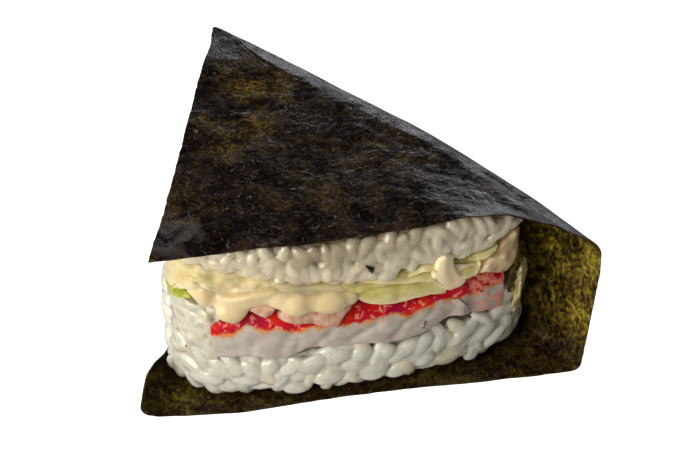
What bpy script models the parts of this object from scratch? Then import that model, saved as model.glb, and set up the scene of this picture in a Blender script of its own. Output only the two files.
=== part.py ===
import math

import bpy
import numpy as np

# A filled rice ball lying flat with one side open. Two beds of rice hold the filling, and one
# folded sheet of nori goes under them, up the back, over the top and a little way up the left.
# Sizes are in mm, with X along the open side, Y to the back and Z up.

# plan of the rice: centre x, centre y and radius of each rounded corner, then how the sides bow
riceCorners = [(-32.2, -22.2, 12.4), (24.2, -24.0, 8.5), (-17.4, 21.6, 11.6)]
riceSideRadii = [110.0, 2000.0, 2000.0]
riceCentre = np.array([-6.0, -9.0])
riceBottom = 0.7
riceTop = 41.6
riceUneven = 0.45

# the filling keeps this far inside the rice at the two closed sides, and lies between these x
fillInset = 8.0
fillLeft, fillRight = -37.4, 25.2
# how high the lower bed's rim stands round the filling, and how high the cap is hollowed inside
rimHeight = 27.4
rimHeightRight = 20.0
capInside = 31.6
# the space left between two layers
gap = 0.5

# the sheet of nori: its top flap's cut edge, the fold along the back and the feet of its two walls, in plan
noriThickness = 0.4
noriTop = 42.3
noriFold = 8.0
noriTipDrop = 2.2
noriTopLeft = np.array([-48.6, -36.4])
noriTip = np.array([-22.3, 46.8])
noriRidge = np.array([(46.3, -36.2), (37.0, -21.6), (27.0, -10.0), (13.9, 5.7), (-3.4, 28.7), (-13.0, 39.5),
                      (-20.4, 47.2)])
ridgeAlong = np.array([-0.613, 0.79])
ridgeOut = np.array([0.79, 0.613])
noriFootRight = np.array([(42.6, -40.8), (37.4, -28.0), (32.3, -19.0), (19.0, -1.8), (5.7, 14.3), (-4.6, 26.6),
                          (-8.5, 31.1), (-11.8, 33.3), (-14.8, 34.3), (-18.5, 34.5)])
noriFootLeft = np.array([(-51.8, -36.8), (-49.0, -32.0), (-46.3, -26.8), (-45.6, -19.0), (-39.9, -2.3),
                         (-34.2, 13.5), (-29.8, 25.6), (-27.5, 29.8), (-24.0, 32.8), (-20.1, 34.3)])
# how high the left wall stands, from the open side to the back
noriLeftHeight = [(0, 7.6), (0.08, 7.6), (0.15, 6.2), (0.24, 4.8), (0.5, 4.8), (1, 20.0)]
# how the cut edges wave at the open side, by x: the flap's, and the sheet's under the rice
flapWave = [(-48, 0), (-32, 0.9), (-12, -0.4), (3, 0), (20, 2.2), (28, 3.2), (35, 1.6)]
underWave = [(-47, 0.2), (-38, -1.1), (-30, -0.9), (-18, -0.2), (-4, 0.9), (8, 0.3), (40, 0)]
# where the rows of the sheet lie between the open side and the back, and the slit in the flap's edge
noriRows = [0, 0.03, 0.08, 0.15, 0.24, 0.35, 0.46, 0.57, 0.67, 0.76, 0.83, 0.89, 0.93, 0.947, 0.962, 0.985, 1.0]
slitRow = 0.947
slit = np.array([1.5, -0.3])
# how deep the top sinks at the front right corner, and how far that reaches along the fold and across it
sagDepth = 8.0
sagAlong = (-5, 55)
sagAcross = (2, 25)

# heights along the open side, as x and z pairs: where each layer begins or ends at the front
bedLine = [(-37, 12.6), (-29, 13.1), (-21, 12.6), (-17, 14.4), (-10, 14.0), (0, 12.9), (5, 13.3),
           (12, 14.6), (19, 14.1), (26, 13.6)]
crabTopLine = [(-37, 22.0), (-30, 23.2), (-20, 23.9), (-7, 24.6), (0, 23.7), (12, 23.2), (19, 24.6),
               (26, 22.6)]
sauceLine = [(-43, 30.6), (-41, 29.8), (-38, 26.3), (-35, 26.2), (-31.8, 23.9), (-28, 26.4),
             (-23.5, 27.5), (-18.6, 24.4), (-16, 26.0), (-12.4, 24.4), (-8, 27.4), (-4, 27.6)]
sauceTopLine = [(-43, 33.0), (-35, 31.2), (-28, 31.2), (-20, 29.8), (-12, 28.6), (-4, 28.4)]
leafLowLine = [(-13, 29.3), (-8, 29.2), (-3.4, 28.4), (-1.5, 24.6), (6, 24.3), (12.6, 24.3), (17, 25.0)]
leafLowTopLine = [(-13, 30.0), (-8, 30.0), (-3, 29.2), (5, 27.6), (17, 27.6)]
sauceRightLine = [(12.4, 27.0), (14.5, 23.1), (16.2, 24.0), (18.5, 27.2), (22, 23.4), (26.5, 23.0), (30, 27.0)]
sauceRightTopLine = [(12.4, 30.6), (14.5, 30.8), (18.5, 29.6), (24, 30.4), (30, 29.8)]
capLine = [(-43, 37.0), (-37, 36.7), (-30, 34.7), (-27, 33.6), (-20, 32.4), (-11, 31.0), (-4, 30.6),
           (3, 31.0), (7, 31.7), (15, 31.8), (18, 31.0), (23, 32.0), (26.5, 33.6), (32, 34.0)]

# where the layers that follow a bent line have their sections
sauceXs = [-42.8, -41, -38.9, -36.8, -35, -33.4, -31.8, -30, -28, -25.6, -23.2, -21, -18.8, -16, -14, -12.4, -10,
           -8, -5.4]
leafLowXs = [-12.6, -10, -7, -4, -2.9, 0, 4, 8, 11, 13.5, 16.6]
leafHighXs = [0.6, 4, 8, 11, 14, 17, 20, 23, 26, 28.4]
sauceRightXs = [12.4, 13.4, 14.5, 15.4, 16.4, 18.4, 20.3, 22.2, 24.4, 26.5, 28.4, 30.0]


def along(line, x):
    return np.interp(x, [a for a, _ in line], [b for _, b in line])


def ease(start, end, value):
    t = np.clip((value - start) / (end - start), 0, 1)
    return t * t * (3 - 2 * t)


def mix(a, b, t):
    return a + (b - a) * t


def uneven(a, b):
    return (math.sin(a * 0.9 + b * 1.7) + math.sin(a * 2.1 - b * 0.8 + 1.3) + math.sin(a * 3.7 + b * 2.9)) / 3


def sag(x, y):
    """How far the top sinks towards the front right corner, where no rice holds the nori up."""
    place = np.array([x, y]) - noriRidge[0]
    return sagDepth * (1 - ease(*sagAlong, place @ ridgeAlong)) * (1 - ease(*sagAcross, -place @ ridgeOut))


def bowedSide(a, b, bow):
    """Centre of the arc of radius bow that rounds off from corner a to corner b."""
    start, end = np.array(a[:2]), np.array(b[:2])
    span = np.linalg.norm(end - start)
    near, far = bow - a[2], bow - b[2]
    x = (near**2 - far**2 + span**2) / (2 * span)
    unit = (end - start) / span
    return start + unit * x + np.array([-unit[1], unit[0]]) * math.sqrt(near**2 - x**2)


def planOutline(offset=0.0, steps=120):
    """The rounded triangle as points, counter-clockwise from the front left corner."""
    centres = [bowedSide(riceCorners[i], riceCorners[(i + 1) % 3], riceSideRadii[i]) for i in range(3)]
    points = []
    for i in range(3):
        corner = np.array(riceCorners[i][:2])
        following = np.array(riceCorners[(i + 1) % 3][:2])
        arcs = [
            (corner, riceCorners[i][2] + offset, corner - centres[i - 1], corner - centres[i]),
            (centres[i], riceSideRadii[i] + offset, corner - centres[i], following - centres[i]),
        ]
        for centre, radius, first, last in arcs:
            a, b = math.atan2(first[1], first[0]), math.atan2(last[1], last[0])
            b += 2 * math.pi * (b < a)
            for t in np.linspace(a, b, steps, endpoint=False):
                points.append(centre + radius * np.array([math.cos(t), math.sin(t)]))
    return np.array(points)


outline = planOutline()
insetLine = planOutline(-fillInset)


def frontY(x, line=outline):
    """The front of the plan at this x."""
    low = line[line[:, 1] < -20]
    low = low[np.argsort(low[:, 0])]
    return float(np.interp(x, low[:, 0], low[:, 1]))


def backY(x):
    """Where the filling ends at the back at this x: against the two closed sides."""
    if x < fillLeft:
        return float(np.interp(x, [-44, fillLeft], [-29.5, -21.0]))
    if x > fillRight:
        return -24.0
    high = insetLine[(insetLine[:, 1] > -23.4)]
    high = high[np.argsort(high[:, 0])]
    return max(float(np.interp(x, high[:, 0], high[:, 1])) - gap, frontY(x) + 4)


def rayDistance(polygon, angle):
    """Distance from the centre of the plan to the polygon in this direction."""
    direction = np.array([math.cos(angle), math.sin(angle)])
    best = 0.0
    for a, b in zip(polygon, np.roll(polygon, -1, axis=0)):
        across = np.array([direction, a - b]).T
        if abs(np.linalg.det(across)) < 1e-9:
            continue
        reach, part = np.linalg.solve(across, a - riceCentre)
        if 0 <= part <= 1:
            best = max(best, reach)
    return best


def stationsOf(frontXs, spacing=4.3):
    """Points round the plan with their outward normals: one at each front x, the rest evenly spaced."""
    lengths = np.concatenate([[0], np.cumsum(np.linalg.norm(np.diff(outline, axis=0), axis=1))])
    front = outline[:, 1] < -26
    places = [float(np.interp(x, outline[front, 0], lengths[front])) for x in frontXs]
    total = lengths[-1] + np.linalg.norm(outline[0] - outline[-1])
    rest = (places[0] - places[-1]) % total
    count = round(rest / spacing)
    places += [places[-1] + rest * k / count for k in range(1, count)]
    ring = np.vstack([outline, outline[:1]])
    lengths = np.append(lengths, total)
    stations = []
    for place in places:
        here = [np.interp((place + d) % total, lengths, ring[:, k]) for d in (0, -0.4, 0.4) for k in (0, 1)]
        tangent = np.array(here[4:]) - np.array(here[2:4])
        normal = np.array([tangent[1], -tangent[0]]) / np.linalg.norm(tangent)
        stations.append((np.array(here[:2]), normal))
    return stations


def addSolid(name, points, faces, colour, roughness):
    """Makes the object, its faces turned outward, with its own material."""
    points = np.array(points, float)
    volume = 0.0
    for face in faces:
        for k in range(1, len(face) - 1):
            volume += np.dot(points[face[0]], np.cross(points[face[k]], points[face[k + 1]]))
    if volume < 0:
        faces = [face[::-1] for face in faces]
    mesh = bpy.data.meshes.new(name)
    mesh.from_pydata((points / 1000).tolist(), [], faces)
    mesh.shade_smooth()
    mesh.set_sharp_from_angle(angle=math.radians(50))
    material = bpy.data.materials.new(name)
    material.use_nodes = True
    shader = material.node_tree.nodes["Principled BSDF"]
    shader.inputs["Base Color"].default_value = (*colour, 1)
    shader.inputs["Roughness"].default_value = roughness
    mesh.materials.append(material)
    built = bpy.data.objects.new(name, mesh)
    bpy.context.collection.objects.link(built)
    return built


def addRings(name, rings, bottom, top, colour, roughness):
    """A solid from closed rings of points, lowest first, each end closed to a middle point."""
    count = len(rings[0])
    points = [bottom, *[p for ring in rings for p in ring], top]
    faces = [[0, 1 + (k + 1) % count, 1 + k] for k in range(count)]
    for r in range(len(rings) - 1):
        a, b = 1 + r * count, 1 + (r + 1) * count
        faces += [[a + k, a + (k + 1) % count, b + (k + 1) % count, b + k] for k in range(count)]
    last = 1 + (len(rings) - 1) * count
    faces += [[last + k, last + (k + 1) % count, len(points) - 1] for k in range(count)]
    return addSolid(name, points, faces, colour, roughness)


def addLoft(name, xs, sectionAt, colour, roughness):
    """A solid from one closed section at each x. A section is depths behind the front, with heights."""
    sections = []
    for x in xs:
        base = frontY(x)
        sections.append([(x, base + depth, z) for depth, z in sectionAt(x)])
    count = len(sections[0])
    points = [p for section in sections for p in section]
    faces = [list(range(count))[::-1], [len(points) - count + k for k in range(count)]]
    for s in range(len(sections) - 1):
        a, b = s * count, (s + 1) * count
        faces += [[a + k, a + (k + 1) % count, b + (k + 1) % count, b + k] for k in range(count)]
    return addSolid(name, points, faces, colour, roughness)


def addSheet(name, grid, thickness, colour, roughness):
    """A thin solid on both sides of a grid of points."""
    rows, columns = grid.shape[:2]
    alongRows = np.gradient(grid, axis=0)
    alongColumns = np.gradient(grid, axis=1)
    normal = np.cross(alongRows, alongColumns)
    normal /= np.linalg.norm(normal, axis=2, keepdims=True)
    points = np.concatenate([
        (grid + normal * thickness / 2).reshape(-1, 3),
        (grid - normal * thickness / 2).reshape(-1, 3),
    ])
    under = rows * columns
    faces = []
    for i in range(rows - 1):
        for j in range(columns - 1):
            a = i * columns + j
            faces.append([a, a + 1, a + columns + 1, a + columns])
            faces.append([under + a, under + a + columns, under + a + columns + 1, under + a + 1])
    edge = [(i * columns, (i + 1) * columns) for i in range(rows - 1)]
    edge += [((rows - 1) * columns + j, (rows - 1) * columns + j + 1) for j in range(columns - 1)]
    edge += [((i + 1) * columns - 1, i * columns - 1) for i in range(rows - 1, 0, -1)]
    edge += [(j + 1, j) for j in range(columns - 2, -1, -1)]
    faces += [[a, b, under + b, under + a] for a, b in edge]
    return addSolid(name, points, faces, colour, roughness)


def fillingPlan():
    """The plan that the two beds of rice leave to the filling."""
    front = [(x, frontY(x) + 1.2) for x in np.linspace(fillLeft, fillRight, 40)]
    back = [p for p in insetLine if p[1] > -23.4]
    start = int(np.argmax([p[0] for p in back]))
    return np.array(front + [tuple(p) for p in back[start:] + back[:start]])


def innerPoint(point, plan):
    away = point - riceCentre
    angle = math.atan2(away[1], away[0])
    return riceCentre + rayDistance(plan, angle) * away / np.linalg.norm(away)


def bedAt(x, depth):
    return mix(along(bedLine, x), 13.4, ease(0, 12, depth))


def crabTopAt(x, depth):
    return mix(along(crabTopLine, x), 23.6, ease(0, 12, depth))


def addRiceLower(plan):
    frontXs = np.linspace(fillLeft, fillRight, 24)
    rings = [[] for _ in range(10)]
    for point, normal in stationsOf(frontXs):
        inner = innerPoint(point, plan)
        atFilling = point[1] < -26 and fillLeft - 0.1 <= point[0] <= fillRight + 0.1
        closed = mix(rimHeightRight, rimHeight, ease(-24, -12, point[1])) if point[0] > 0 else rimHeight
        top = along(bedLine, point[0]) - 0.4 if atFilling else closed + 0.5 * uneven(point[0], point[1])
        bed = bedAt(inner[0], inner[1] - frontY(inner[0])) - 0.8
        bump = riceUneven * uneven(point[0] * 0.8, point[1] * 0.8)
        levels = [
            (mix(riceCentre, point, 0.55), riceBottom),
            (point - 3.2 * normal, riceBottom),
            (point - 1.0 * normal, riceBottom + 0.9),
            (point - 0.2 * normal, riceBottom + 3.2),
            (point + bump * normal, mix(riceBottom + 3.2, top, 0.5)),
            (point - 0.2 * normal, top - 1.3),
            (mix(point, inner, 0.35 if atFilling else 0.16), top),
            (mix(point, inner, 0.75 if atFilling else 0.93), top - (0 if atFilling else 0.4)),
            (inner, bed),
            (mix(inner, riceCentre, 0.45), 12.4),
        ]
        for ring, (place, z) in zip(rings, levels):
            ring.append((place[0], place[1], z))
    addRings("rice_lower", rings, (*riceCentre, riceBottom), (*riceCentre, 12.4), (0.82, 0.80, 0.74), 0.45)


def addRiceUpper(plan):
    frontXs = np.linspace(-43.6, 30.5, 28)
    rings = [[] for _ in range(9)]
    for point, normal in stationsOf(frontXs):
        inner = innerPoint(point, plan)
        x, y = point
        closed = ease(-25, -16, y) if x < 0 else ease(-22, -13, y)
        low = mix(along(capLine, x) + 0.35 * uneven(x * 1.6, 2.0), rimHeight + 1.1, closed)
        top = riceTop - sag(x, y)
        bump = riceUneven * uneven(x * 0.8 + 4, y * 0.8)
        innerLow = mix(low, capInside, ease(-26, -18, inner[1]))
        soft = mix(1.0, 2.8 if x > riceCorners[2][0] else 1.3, ease(-24, -12, y))
        levels = [
            (mix(riceCentre, inner, 0.6), capInside),
            (inner, innerLow),
            (mix(inner, point, mix(0.4, 0.12, closed)), low),
            (point - 0.4 * normal, low + 0.3),
            (point + bump * normal, mix(low, top, 0.45)),
            (point - 0.2 * soft * normal, top - 2.6 * soft),
            (point - 1.0 * soft * normal, top - 0.9 * soft),
            (point - 3.2 * soft * normal, top),
            (mix(riceCentre, point, 0.5), riceTop - sag(*mix(riceCentre, point, 0.5))),
        ]
        for ring, (place, z) in zip(rings, levels):
            ring.append((place[0], place[1], z))
    addRings("rice_upper", rings, (*riceCentre, capInside), (*riceCentre, riceTop), (0.84, 0.79, 0.72), 0.45)


def layerSection(x, front, lip, low, high, lowBack, highBack):
    """Section of a layer: its rounded front hangs to the lip height, and it thins to its back heights."""
    back = backY(x) - frontY(x)
    places = [mix(front + 1.2, back, t) for t in (0.15, 0.45, 1.0)]
    over = [(d, mix(high, highBack, ease(0, 10, d))) for d in places]
    below = [(d, mix(low, lowBack, ease(0, 10, d))) for d in places[::-1]]
    return [
        (front, mix(lip, high, 0.3)),
        (front, mix(lip, high, 0.75)),
        (front + 0.8, high),
        *over,
        *below,
        (front + 1.2, low),
        (front + 0.7, mix(lip, low, 0.2)),
        (front + 0.3, lip),
    ]


def addFilling():
    def crab(x):
        front = 0.1 + 1.3 * ease(-24.5, -22, x) * (1 - ease(-8, -5.5, x))
        low, high = along(bedLine, x) + 0.1, along(crabTopLine, x)
        back = backY(x) - frontY(x)
        inside = [mix(front + 1.5, back, t) for t in (0.15, 0.45, 1.0)]
        return [
            (front + 0.3, low + 1.0),
            (front, mix(low, high, 0.5)),
            (front + 0.4, high - 1.0),
            (front + 1.4, high),
            *[(d, crabTopAt(x, d)) for d in inside],
            *[(d, bedAt(x, d) + 0.3) for d in inside[::-1]],
            (front + 1.4, low + 0.2),
        ]

    def flake(front, hang, depth):
        def section(x):
            low, high = along(crabTopLine, x) + 0.5, 26.7
            lip = low if hang == 0 else low - hang * (0.75 + 0.25 * math.sin(x * 1.3))
            return [
                (front, lip + 1.0),
                (front + 0.2, high - 0.8),
                (front + 1.2, high),
                (depth, high),
                (depth, max(low, 24.5)),
                (front + 1.6, low),
                (front + 0.95, low),
                (front + 0.8, lip),
            ]

        return section

    def sauce(x):
        lip = along(sauceLine, x)
        low = max(27.2, lip + 0.2) if x < -5 else 27.4
        high = max(along(sauceTopLine, x), max(27.2, lip) + 1.0)
        lowBack, highBack = (28.3, 28.9) if x < -36 else (27.2, 28.4)
        return layerSection(x, -1.25, lip, low, high, lowBack, highBack)

    def leafLeft(x):
        low = max(along(sauceTopLine, x), 28.2) + gap
        high = along(capLine, x) - 0.9
        lowBack, highBack = (29.6, 30.4) if x < -32 else (28.9, 29.8)
        return layerSection(x, 0.2, low, low, max(high, low + 0.7), lowBack, highBack)

    def leafLow(x):
        low, high = along(leafLowLine, x), along(leafLowTopLine, x)
        if x > -3:
            return layerSection(x, 0.4 + 2.2 * ease(10, 12.5, x), low, low, high, 24.2, 26.9)
        return layerSection(x, 0.4, low, low, high, 29.0, 29.8)

    def leafHigh(x):
        low = max(along(leafLowTopLine, min(x, 17)) + gap, 28.1) - 1.6 * ease(17, 20, x)
        high = along(capLine, x) - 1.0
        return layerSection(x, 0.3 + 2.5 * ease(10, 12.2, x), low, low, high, 27.7, 29.2)

    def sauceRight(x):
        lip, high = along(sauceRightLine, x), along(sauceRightTopLine, x)
        return [(-0.9, mix(lip, high, 0.3)), (-0.9, mix(lip, high, 0.8)), (0.2, high), (1.6, high - 0.3),
                (2.0, mix(lip, high, 0.5)), (1.2, lip + 0.3), (0.2, lip)]

    def scrapLeft(x):
        high = along(sauceLine, x) - 0.5
        return [(0.0, 28.1), (0.0, high - 0.2), (0.8, high), (2.2, high - 0.3), (2.2, 28.1), (0.9, 28.0)]

    def scrapRight(x):
        lean = 0.3 * (x - 31)
        front = [(0.5, 21.0), (0.2 + lean, 24.5), (0.6 + lean, 27.9)]
        return front + [(1.9 + lean, 28.2), (2.2 + lean, 24.5), (2.4, 21.0)]

    addLoft("crab_stick", np.linspace(fillLeft + 1.1, fillRight - 1.3, 19), crab, (0.86, 0.72, 0.68), 0.4)
    addLoft("tuna_flake_left", np.linspace(-30.2, -24.2, 6), flake(0.2, 0, 9), (0.72, 0.55, 0.45), 0.5)
    addLoft("tuna_flake_right", np.linspace(-21.6, -8.2, 9), flake(0.1, 2.8, 14), (0.74, 0.57, 0.47), 0.5)
    addLoft("sauce_lower", sauceXs, sauce, (0.83, 0.68, 0.42), 0.3)
    addLoft("lettuce_leaf_left", np.linspace(-42.4, -14.0, 12), leafLeft, (0.78, 0.74, 0.36), 0.45)
    addLoft("lettuce_leaf_lower", leafLowXs, leafLow, (0.80, 0.77, 0.42), 0.45)
    addLoft("lettuce_leaf_upper", leafHighXs, leafHigh, (0.80, 0.78, 0.44), 0.45)
    addLoft("sauce_right", sauceRightXs, sauceRight, (0.84, 0.70, 0.45), 0.3)
    addLoft("lettuce_scrap_left", [-43.4, -42.6, -41.8, -41.0], scrapLeft, (0.70, 0.72, 0.12), 0.45)
    addLoft("lettuce_scrap_right", [30.4, 31.2, 32.0, 32.6], scrapRight, (0.80, 0.76, 0.52), 0.45)


def polylineAt(line, f):
    lengths = np.concatenate([[0], np.cumsum(np.linalg.norm(np.diff(line, axis=0), axis=1))])
    return np.array([np.interp(f * lengths[-1], lengths, line[:, k]) for k in (0, 1)])


def noriGrid():
    """The middle of the sheet: rows from the open side back, each from the top flap round to the left wall."""
    rows = []
    for f in noriRows:
        ridge = polylineAt(noriRidge, f)
        footRight, footLeft = polylineAt(noriFootRight, f), polylineAt(noriFootLeft, f)
        edge = mix(noriTopLeft, noriTip, f) + (slit if f == slitRow else 0)
        fold = mix(noriFold, 1.1, ease(0.75, 1, f)) / ridgeOut[0]
        roof = noriTop - noriTipDrop * ease(0.78, 1, f)
        row = []
        for t in (0, 0.14, 0.3, 0.46, 0.62, 0.76, 0.88, 1):
            row.append((*mix(edge, ridge - np.array([fold, 0]), t), roof))
        for share, drop in ((0.5, 1.1), (0.18, 3.4), (0.03, 6.2)):
            row.append((ridge[0] - fold * share, ridge[1], roof - drop * mix(1, 0.5, ease(0.8, 1, f))))
        for part, z in ((0.45, 29.0), (0.15, 21.0), (0, 12.0), (0, 4.0)):
            lean = part if f > 0.6 else mix(z / 32, part, ease(0, 0.5, f))
            row.append((*mix(footRight, ridge, lean), z))
        bottomRight = footRight + np.array([-2.9, 0]) * mix(1, 0.15, ease(0.8, 1, f))
        bottomLeft = footLeft + np.array([4.0, 0]) * mix(1, 0.12, ease(0.8, 1, f))
        row.append((*mix(footRight, bottomRight, 0.3), 1.3))
        row += [(*mix(bottomRight, bottomLeft, t), noriThickness / 2) for t in (0, 0.2, 0.4, 0.6, 0.8, 1)]
        row.append((*mix(footLeft, bottomLeft, 0.3), 1.5))
        row += [(*footLeft, mix(1.5, along(noriLeftHeight, f), t)) for t in (0.3, 0.65, 1)]
        row = np.array(row)
        # the first 14 places are the flap, the fold and the wall; places 15 to 21 lie under the rice
        row[:14, 2] -= [sag(x, y) * z / noriTop for x, y, z in row[:14]]
        front = 1 - ease(0, 0.05, f)
        row[:8, 1] += along(flapWave, row[:8, 0]) * front
        row[15:22, 1] += along(underWave, row[15:22, 0]) * front
        rows.append(row)
    return np.array(rows)


for thing in list(bpy.data.objects):
    bpy.data.objects.remove(thing)

fillPlan = fillingPlan()
addRiceLower(fillPlan)
addRiceUpper(fillPlan)
addFilling()
addSheet("nori_sheet", noriGrid(), noriThickness, (0.03, 0.035, 0.012), 0.35)

# the origin is the middle of the underside
everything = np.array([v.co[:] for thing in bpy.data.objects for v in thing.data.vertices])
low, high = everything.min(axis=0), everything.max(axis=0)
shift = np.array([(low[0] + high[0]) / 2, (low[1] + high[1]) / 2, low[2]])
for thing in bpy.data.objects:
    for vertex in thing.data.vertices:
        vertex.co = [a - b for a, b in zip(vertex.co, shift)]
print("shift mm", (shift * 1000).round(2))
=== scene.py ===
import math

import bpy
import numpy as np
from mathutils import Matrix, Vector
from mathutils.bvhtree import BVHTree


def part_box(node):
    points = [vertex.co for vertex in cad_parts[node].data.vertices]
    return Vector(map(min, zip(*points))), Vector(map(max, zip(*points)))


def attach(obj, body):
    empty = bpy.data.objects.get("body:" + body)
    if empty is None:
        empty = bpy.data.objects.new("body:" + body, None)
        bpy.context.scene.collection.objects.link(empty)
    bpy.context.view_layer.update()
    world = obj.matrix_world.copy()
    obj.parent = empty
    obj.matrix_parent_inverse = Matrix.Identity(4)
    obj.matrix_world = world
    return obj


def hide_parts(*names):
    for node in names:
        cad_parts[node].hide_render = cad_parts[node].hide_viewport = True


# A filled rice ball wrapped in nori. Lengths are in mm in the code and in metres in the meshes,
# with X along the open side, Y to the back and Z up, as in the frame.

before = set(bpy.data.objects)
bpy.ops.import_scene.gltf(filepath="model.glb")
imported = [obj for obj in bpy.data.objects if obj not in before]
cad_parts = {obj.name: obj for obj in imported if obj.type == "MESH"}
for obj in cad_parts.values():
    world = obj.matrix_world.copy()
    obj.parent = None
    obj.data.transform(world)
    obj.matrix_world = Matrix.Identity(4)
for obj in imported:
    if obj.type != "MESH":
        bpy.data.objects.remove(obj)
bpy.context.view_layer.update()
mm = 0.001
print("frame loaded:", len(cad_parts), "nodes")


# small tools

def linear(hexColour, alpha=1.0):
    values = [int(hexColour[i:i + 2], 16) / 255 for i in (0, 2, 4)]
    values = [v / 12.92 if v <= 0.04045 else ((v + 0.055) / 1.055) ** 2.4 for v in values]
    return (*values, alpha)


def mix(a, b, t):
    return a + (b - a) * t


def ease(start, end, value):
    t = np.clip((value - start) / (end - start), 0, 1)
    return t * t * (3 - 2 * t)


def along(line, x):
    return np.interp(x, [p[0] for p in line], [p[1] for p in line])


def noise(points, size, seed=0):
    # smooth random values from -1 to 1, with bumps about this many mm across
    lattice = np.random.default_rng(seed).uniform(-1, 1, (24, 24, 24))
    place = np.asarray(points, float) / size + 100.5
    cell = np.floor(place).astype(int)
    part = place - cell
    part = part * part * (3 - 2 * part)
    total = 0.0
    for corner in np.ndindex(2, 2, 2):
        weight = np.prod(np.where(corner, part, 1 - part), axis=-1)
        total = total + weight * lattice[tuple(((cell + corner) % 24).T)].T
    return total


def addNode(tree, kind, inputs=None, stops=None, **settings):
    # a node with its settings, its values or links by socket, and a ramp's stops
    node = tree.nodes.new(kind)
    for name, value in settings.items():
        setattr(node, name, value)
    for name, value in (inputs or {}).items():
        if isinstance(value, bpy.types.Node):
            value = value.outputs[0]
        if isinstance(value, bpy.types.NodeSocket):
            tree.links.new(value, node.inputs[name])
        else:
            node.inputs[name].default_value = value
    for k, (place, colour) in enumerate(stops or []):
        stop = node.color_ramp.elements[k] if k < 2 else node.color_ramp.elements.new(place)
        stop.position = place
        stop.color = linear(colour)
    return node


def newMaterial(name):
    material = bpy.data.materials.new(name)
    material.use_nodes = True
    material.node_tree.nodes.clear()
    return material, material.node_tree


def meshOf(name, points, faces, attributes=None, smooth=True):
    mesh = bpy.data.meshes.new(name)
    mesh.from_pydata((np.asarray(points) * mm).tolist(), [], [list(map(int, f)) for f in faces])
    mesh.update()
    for key, values in (attributes or {}).items():
        mesh.attributes.new(key, "FLOAT", "POINT").data.foreach_set("value", np.asarray(values, np.float32))
    if smooth:
        mesh.shade_smooth()
    return mesh


def addObject(name, mesh, material=None):
    piece = bpy.data.objects.new(name, mesh)
    bpy.context.scene.collection.objects.link(piece)
    if material:
        mesh.materials.clear()
        mesh.materials.append(material)
    return piece


def pointsOf(mesh):
    values = np.empty(len(mesh.vertices) * 3, np.float32)
    mesh.vertices.foreach_get("co", values)
    return values.reshape(-1, 3).astype(float) / mm


def setPoints(mesh, points):
    mesh.vertices.foreach_set("co", (points * mm).astype(np.float32).ravel())
    mesh.update()


def normalsOf(mesh):
    values = np.empty(len(mesh.vertices) * 3, np.float32)
    mesh.vertex_normals.foreach_get("vector", values)
    return values.reshape(-1, 3).astype(float)


def setAttribute(mesh, key, values):
    found = mesh.attributes.get(key) or mesh.attributes.new(key, "FLOAT", "POINT")
    found.data.foreach_set("value", np.asarray(values, np.float32))


def hollows(mesh, steps):
    # how far each point lies below the points round it, in mm: positive in a crease, negative on a crest
    points, normals = pointsOf(mesh), normalsOf(mesh)
    ends = np.empty(len(mesh.edges) * 2, np.int32)
    mesh.edges.foreach_get("vertices", ends)
    a, b = ends.reshape(-1, 2).T
    shares = np.maximum(np.bincount(ends, minlength=len(points)), 1)[:, None]
    level = points
    for _ in range(steps):
        sums = [np.bincount(a, level[b, k], len(points)) + np.bincount(b, level[a, k], len(points)) for k in range(3)]
        level = np.stack(sums, axis=1) / shares
    return ((level - points) * normals).sum(axis=1)


def evaluated(piece):
    # the piece's modifiers turned into a plain mesh
    graph = bpy.context.evaluated_depsgraph_get()
    mesh = bpy.data.meshes.new_from_object(piece.evaluated_get(graph))
    piece.modifiers.clear()
    piece.data = mesh
    return mesh


def mergedCopy(node, inset=0.0):
    # points and faces of a frame node with its repeated points merged, drawn in by this much
    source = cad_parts[node].data
    points = pointsOf(source)
    _, first, index = np.unique(points.round(3), axis=0, return_index=True, return_inverse=True)
    index = index.reshape(-1)
    faces = [[int(index[k]) for k in p.vertices] for p in source.polygons]
    mesh = meshOf("copy", points[first], faces)
    points = pointsOf(mesh) - normalsOf(mesh) * inset
    bpy.data.meshes.remove(mesh)
    return points, faces


def skin(name, bodies, voxel, smoothing):
    # closed bodies joined in one even skin of small faces
    points, faces = np.empty((0, 3)), []
    for bodyPoints, bodyFaces in bodies:
        faces += [[k + len(points) for k in face] for face in bodyFaces]
        points = np.vstack([points, bodyPoints])
    piece = addObject(name, meshOf(name, points, faces))
    remesh = piece.modifiers.new("skin", "REMESH")
    remesh.mode = "VOXEL"
    remesh.voxel_size = voxel * mm
    soften = piece.modifiers.new("soften", "SMOOTH")
    soften.factor = 0.5
    soften.iterations = smoothing
    evaluated(piece).shade_smooth()
    return piece


def between(first, second):
    # points and faces of the closed body between two grids of the same shape
    rows, columns = first.shape[:2]
    count = rows * columns
    points = np.concatenate([first.reshape(-1, 3), second.reshape(-1, 3)])
    a = (np.arange(rows - 1)[:, None] * columns + np.arange(columns - 1)[None, :]).ravel()
    quads = np.stack([a, a + columns, a + columns + 1, a + 1], axis=1)
    edge = np.concatenate([np.arange(columns), np.arange(2 * columns - 1, count, columns),
                           np.arange(count - 2, count - columns - 1, -1), np.arange(count - 2 * columns, 0, -columns)])
    ahead = np.roll(edge, -1)
    faces = np.concatenate([quads, quads[:, ::-1] + count, np.stack([edge, ahead, ahead + count, edge + count], axis=1)])
    corners = points[faces]
    volume = np.linalg.det(corners[:, [0, 1, 2]]).sum() + np.linalg.det(corners[:, [0, 2, 3]]).sum()
    return points, (faces if volume > 0 else faces[:, ::-1]).tolist()


def gridNormals(grid):
    normal = np.cross(np.gradient(grid, axis=0), np.gradient(grid, axis=1))
    return normal / np.maximum(np.linalg.norm(normal, axis=2, keepdims=True), 1e-9)


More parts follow.
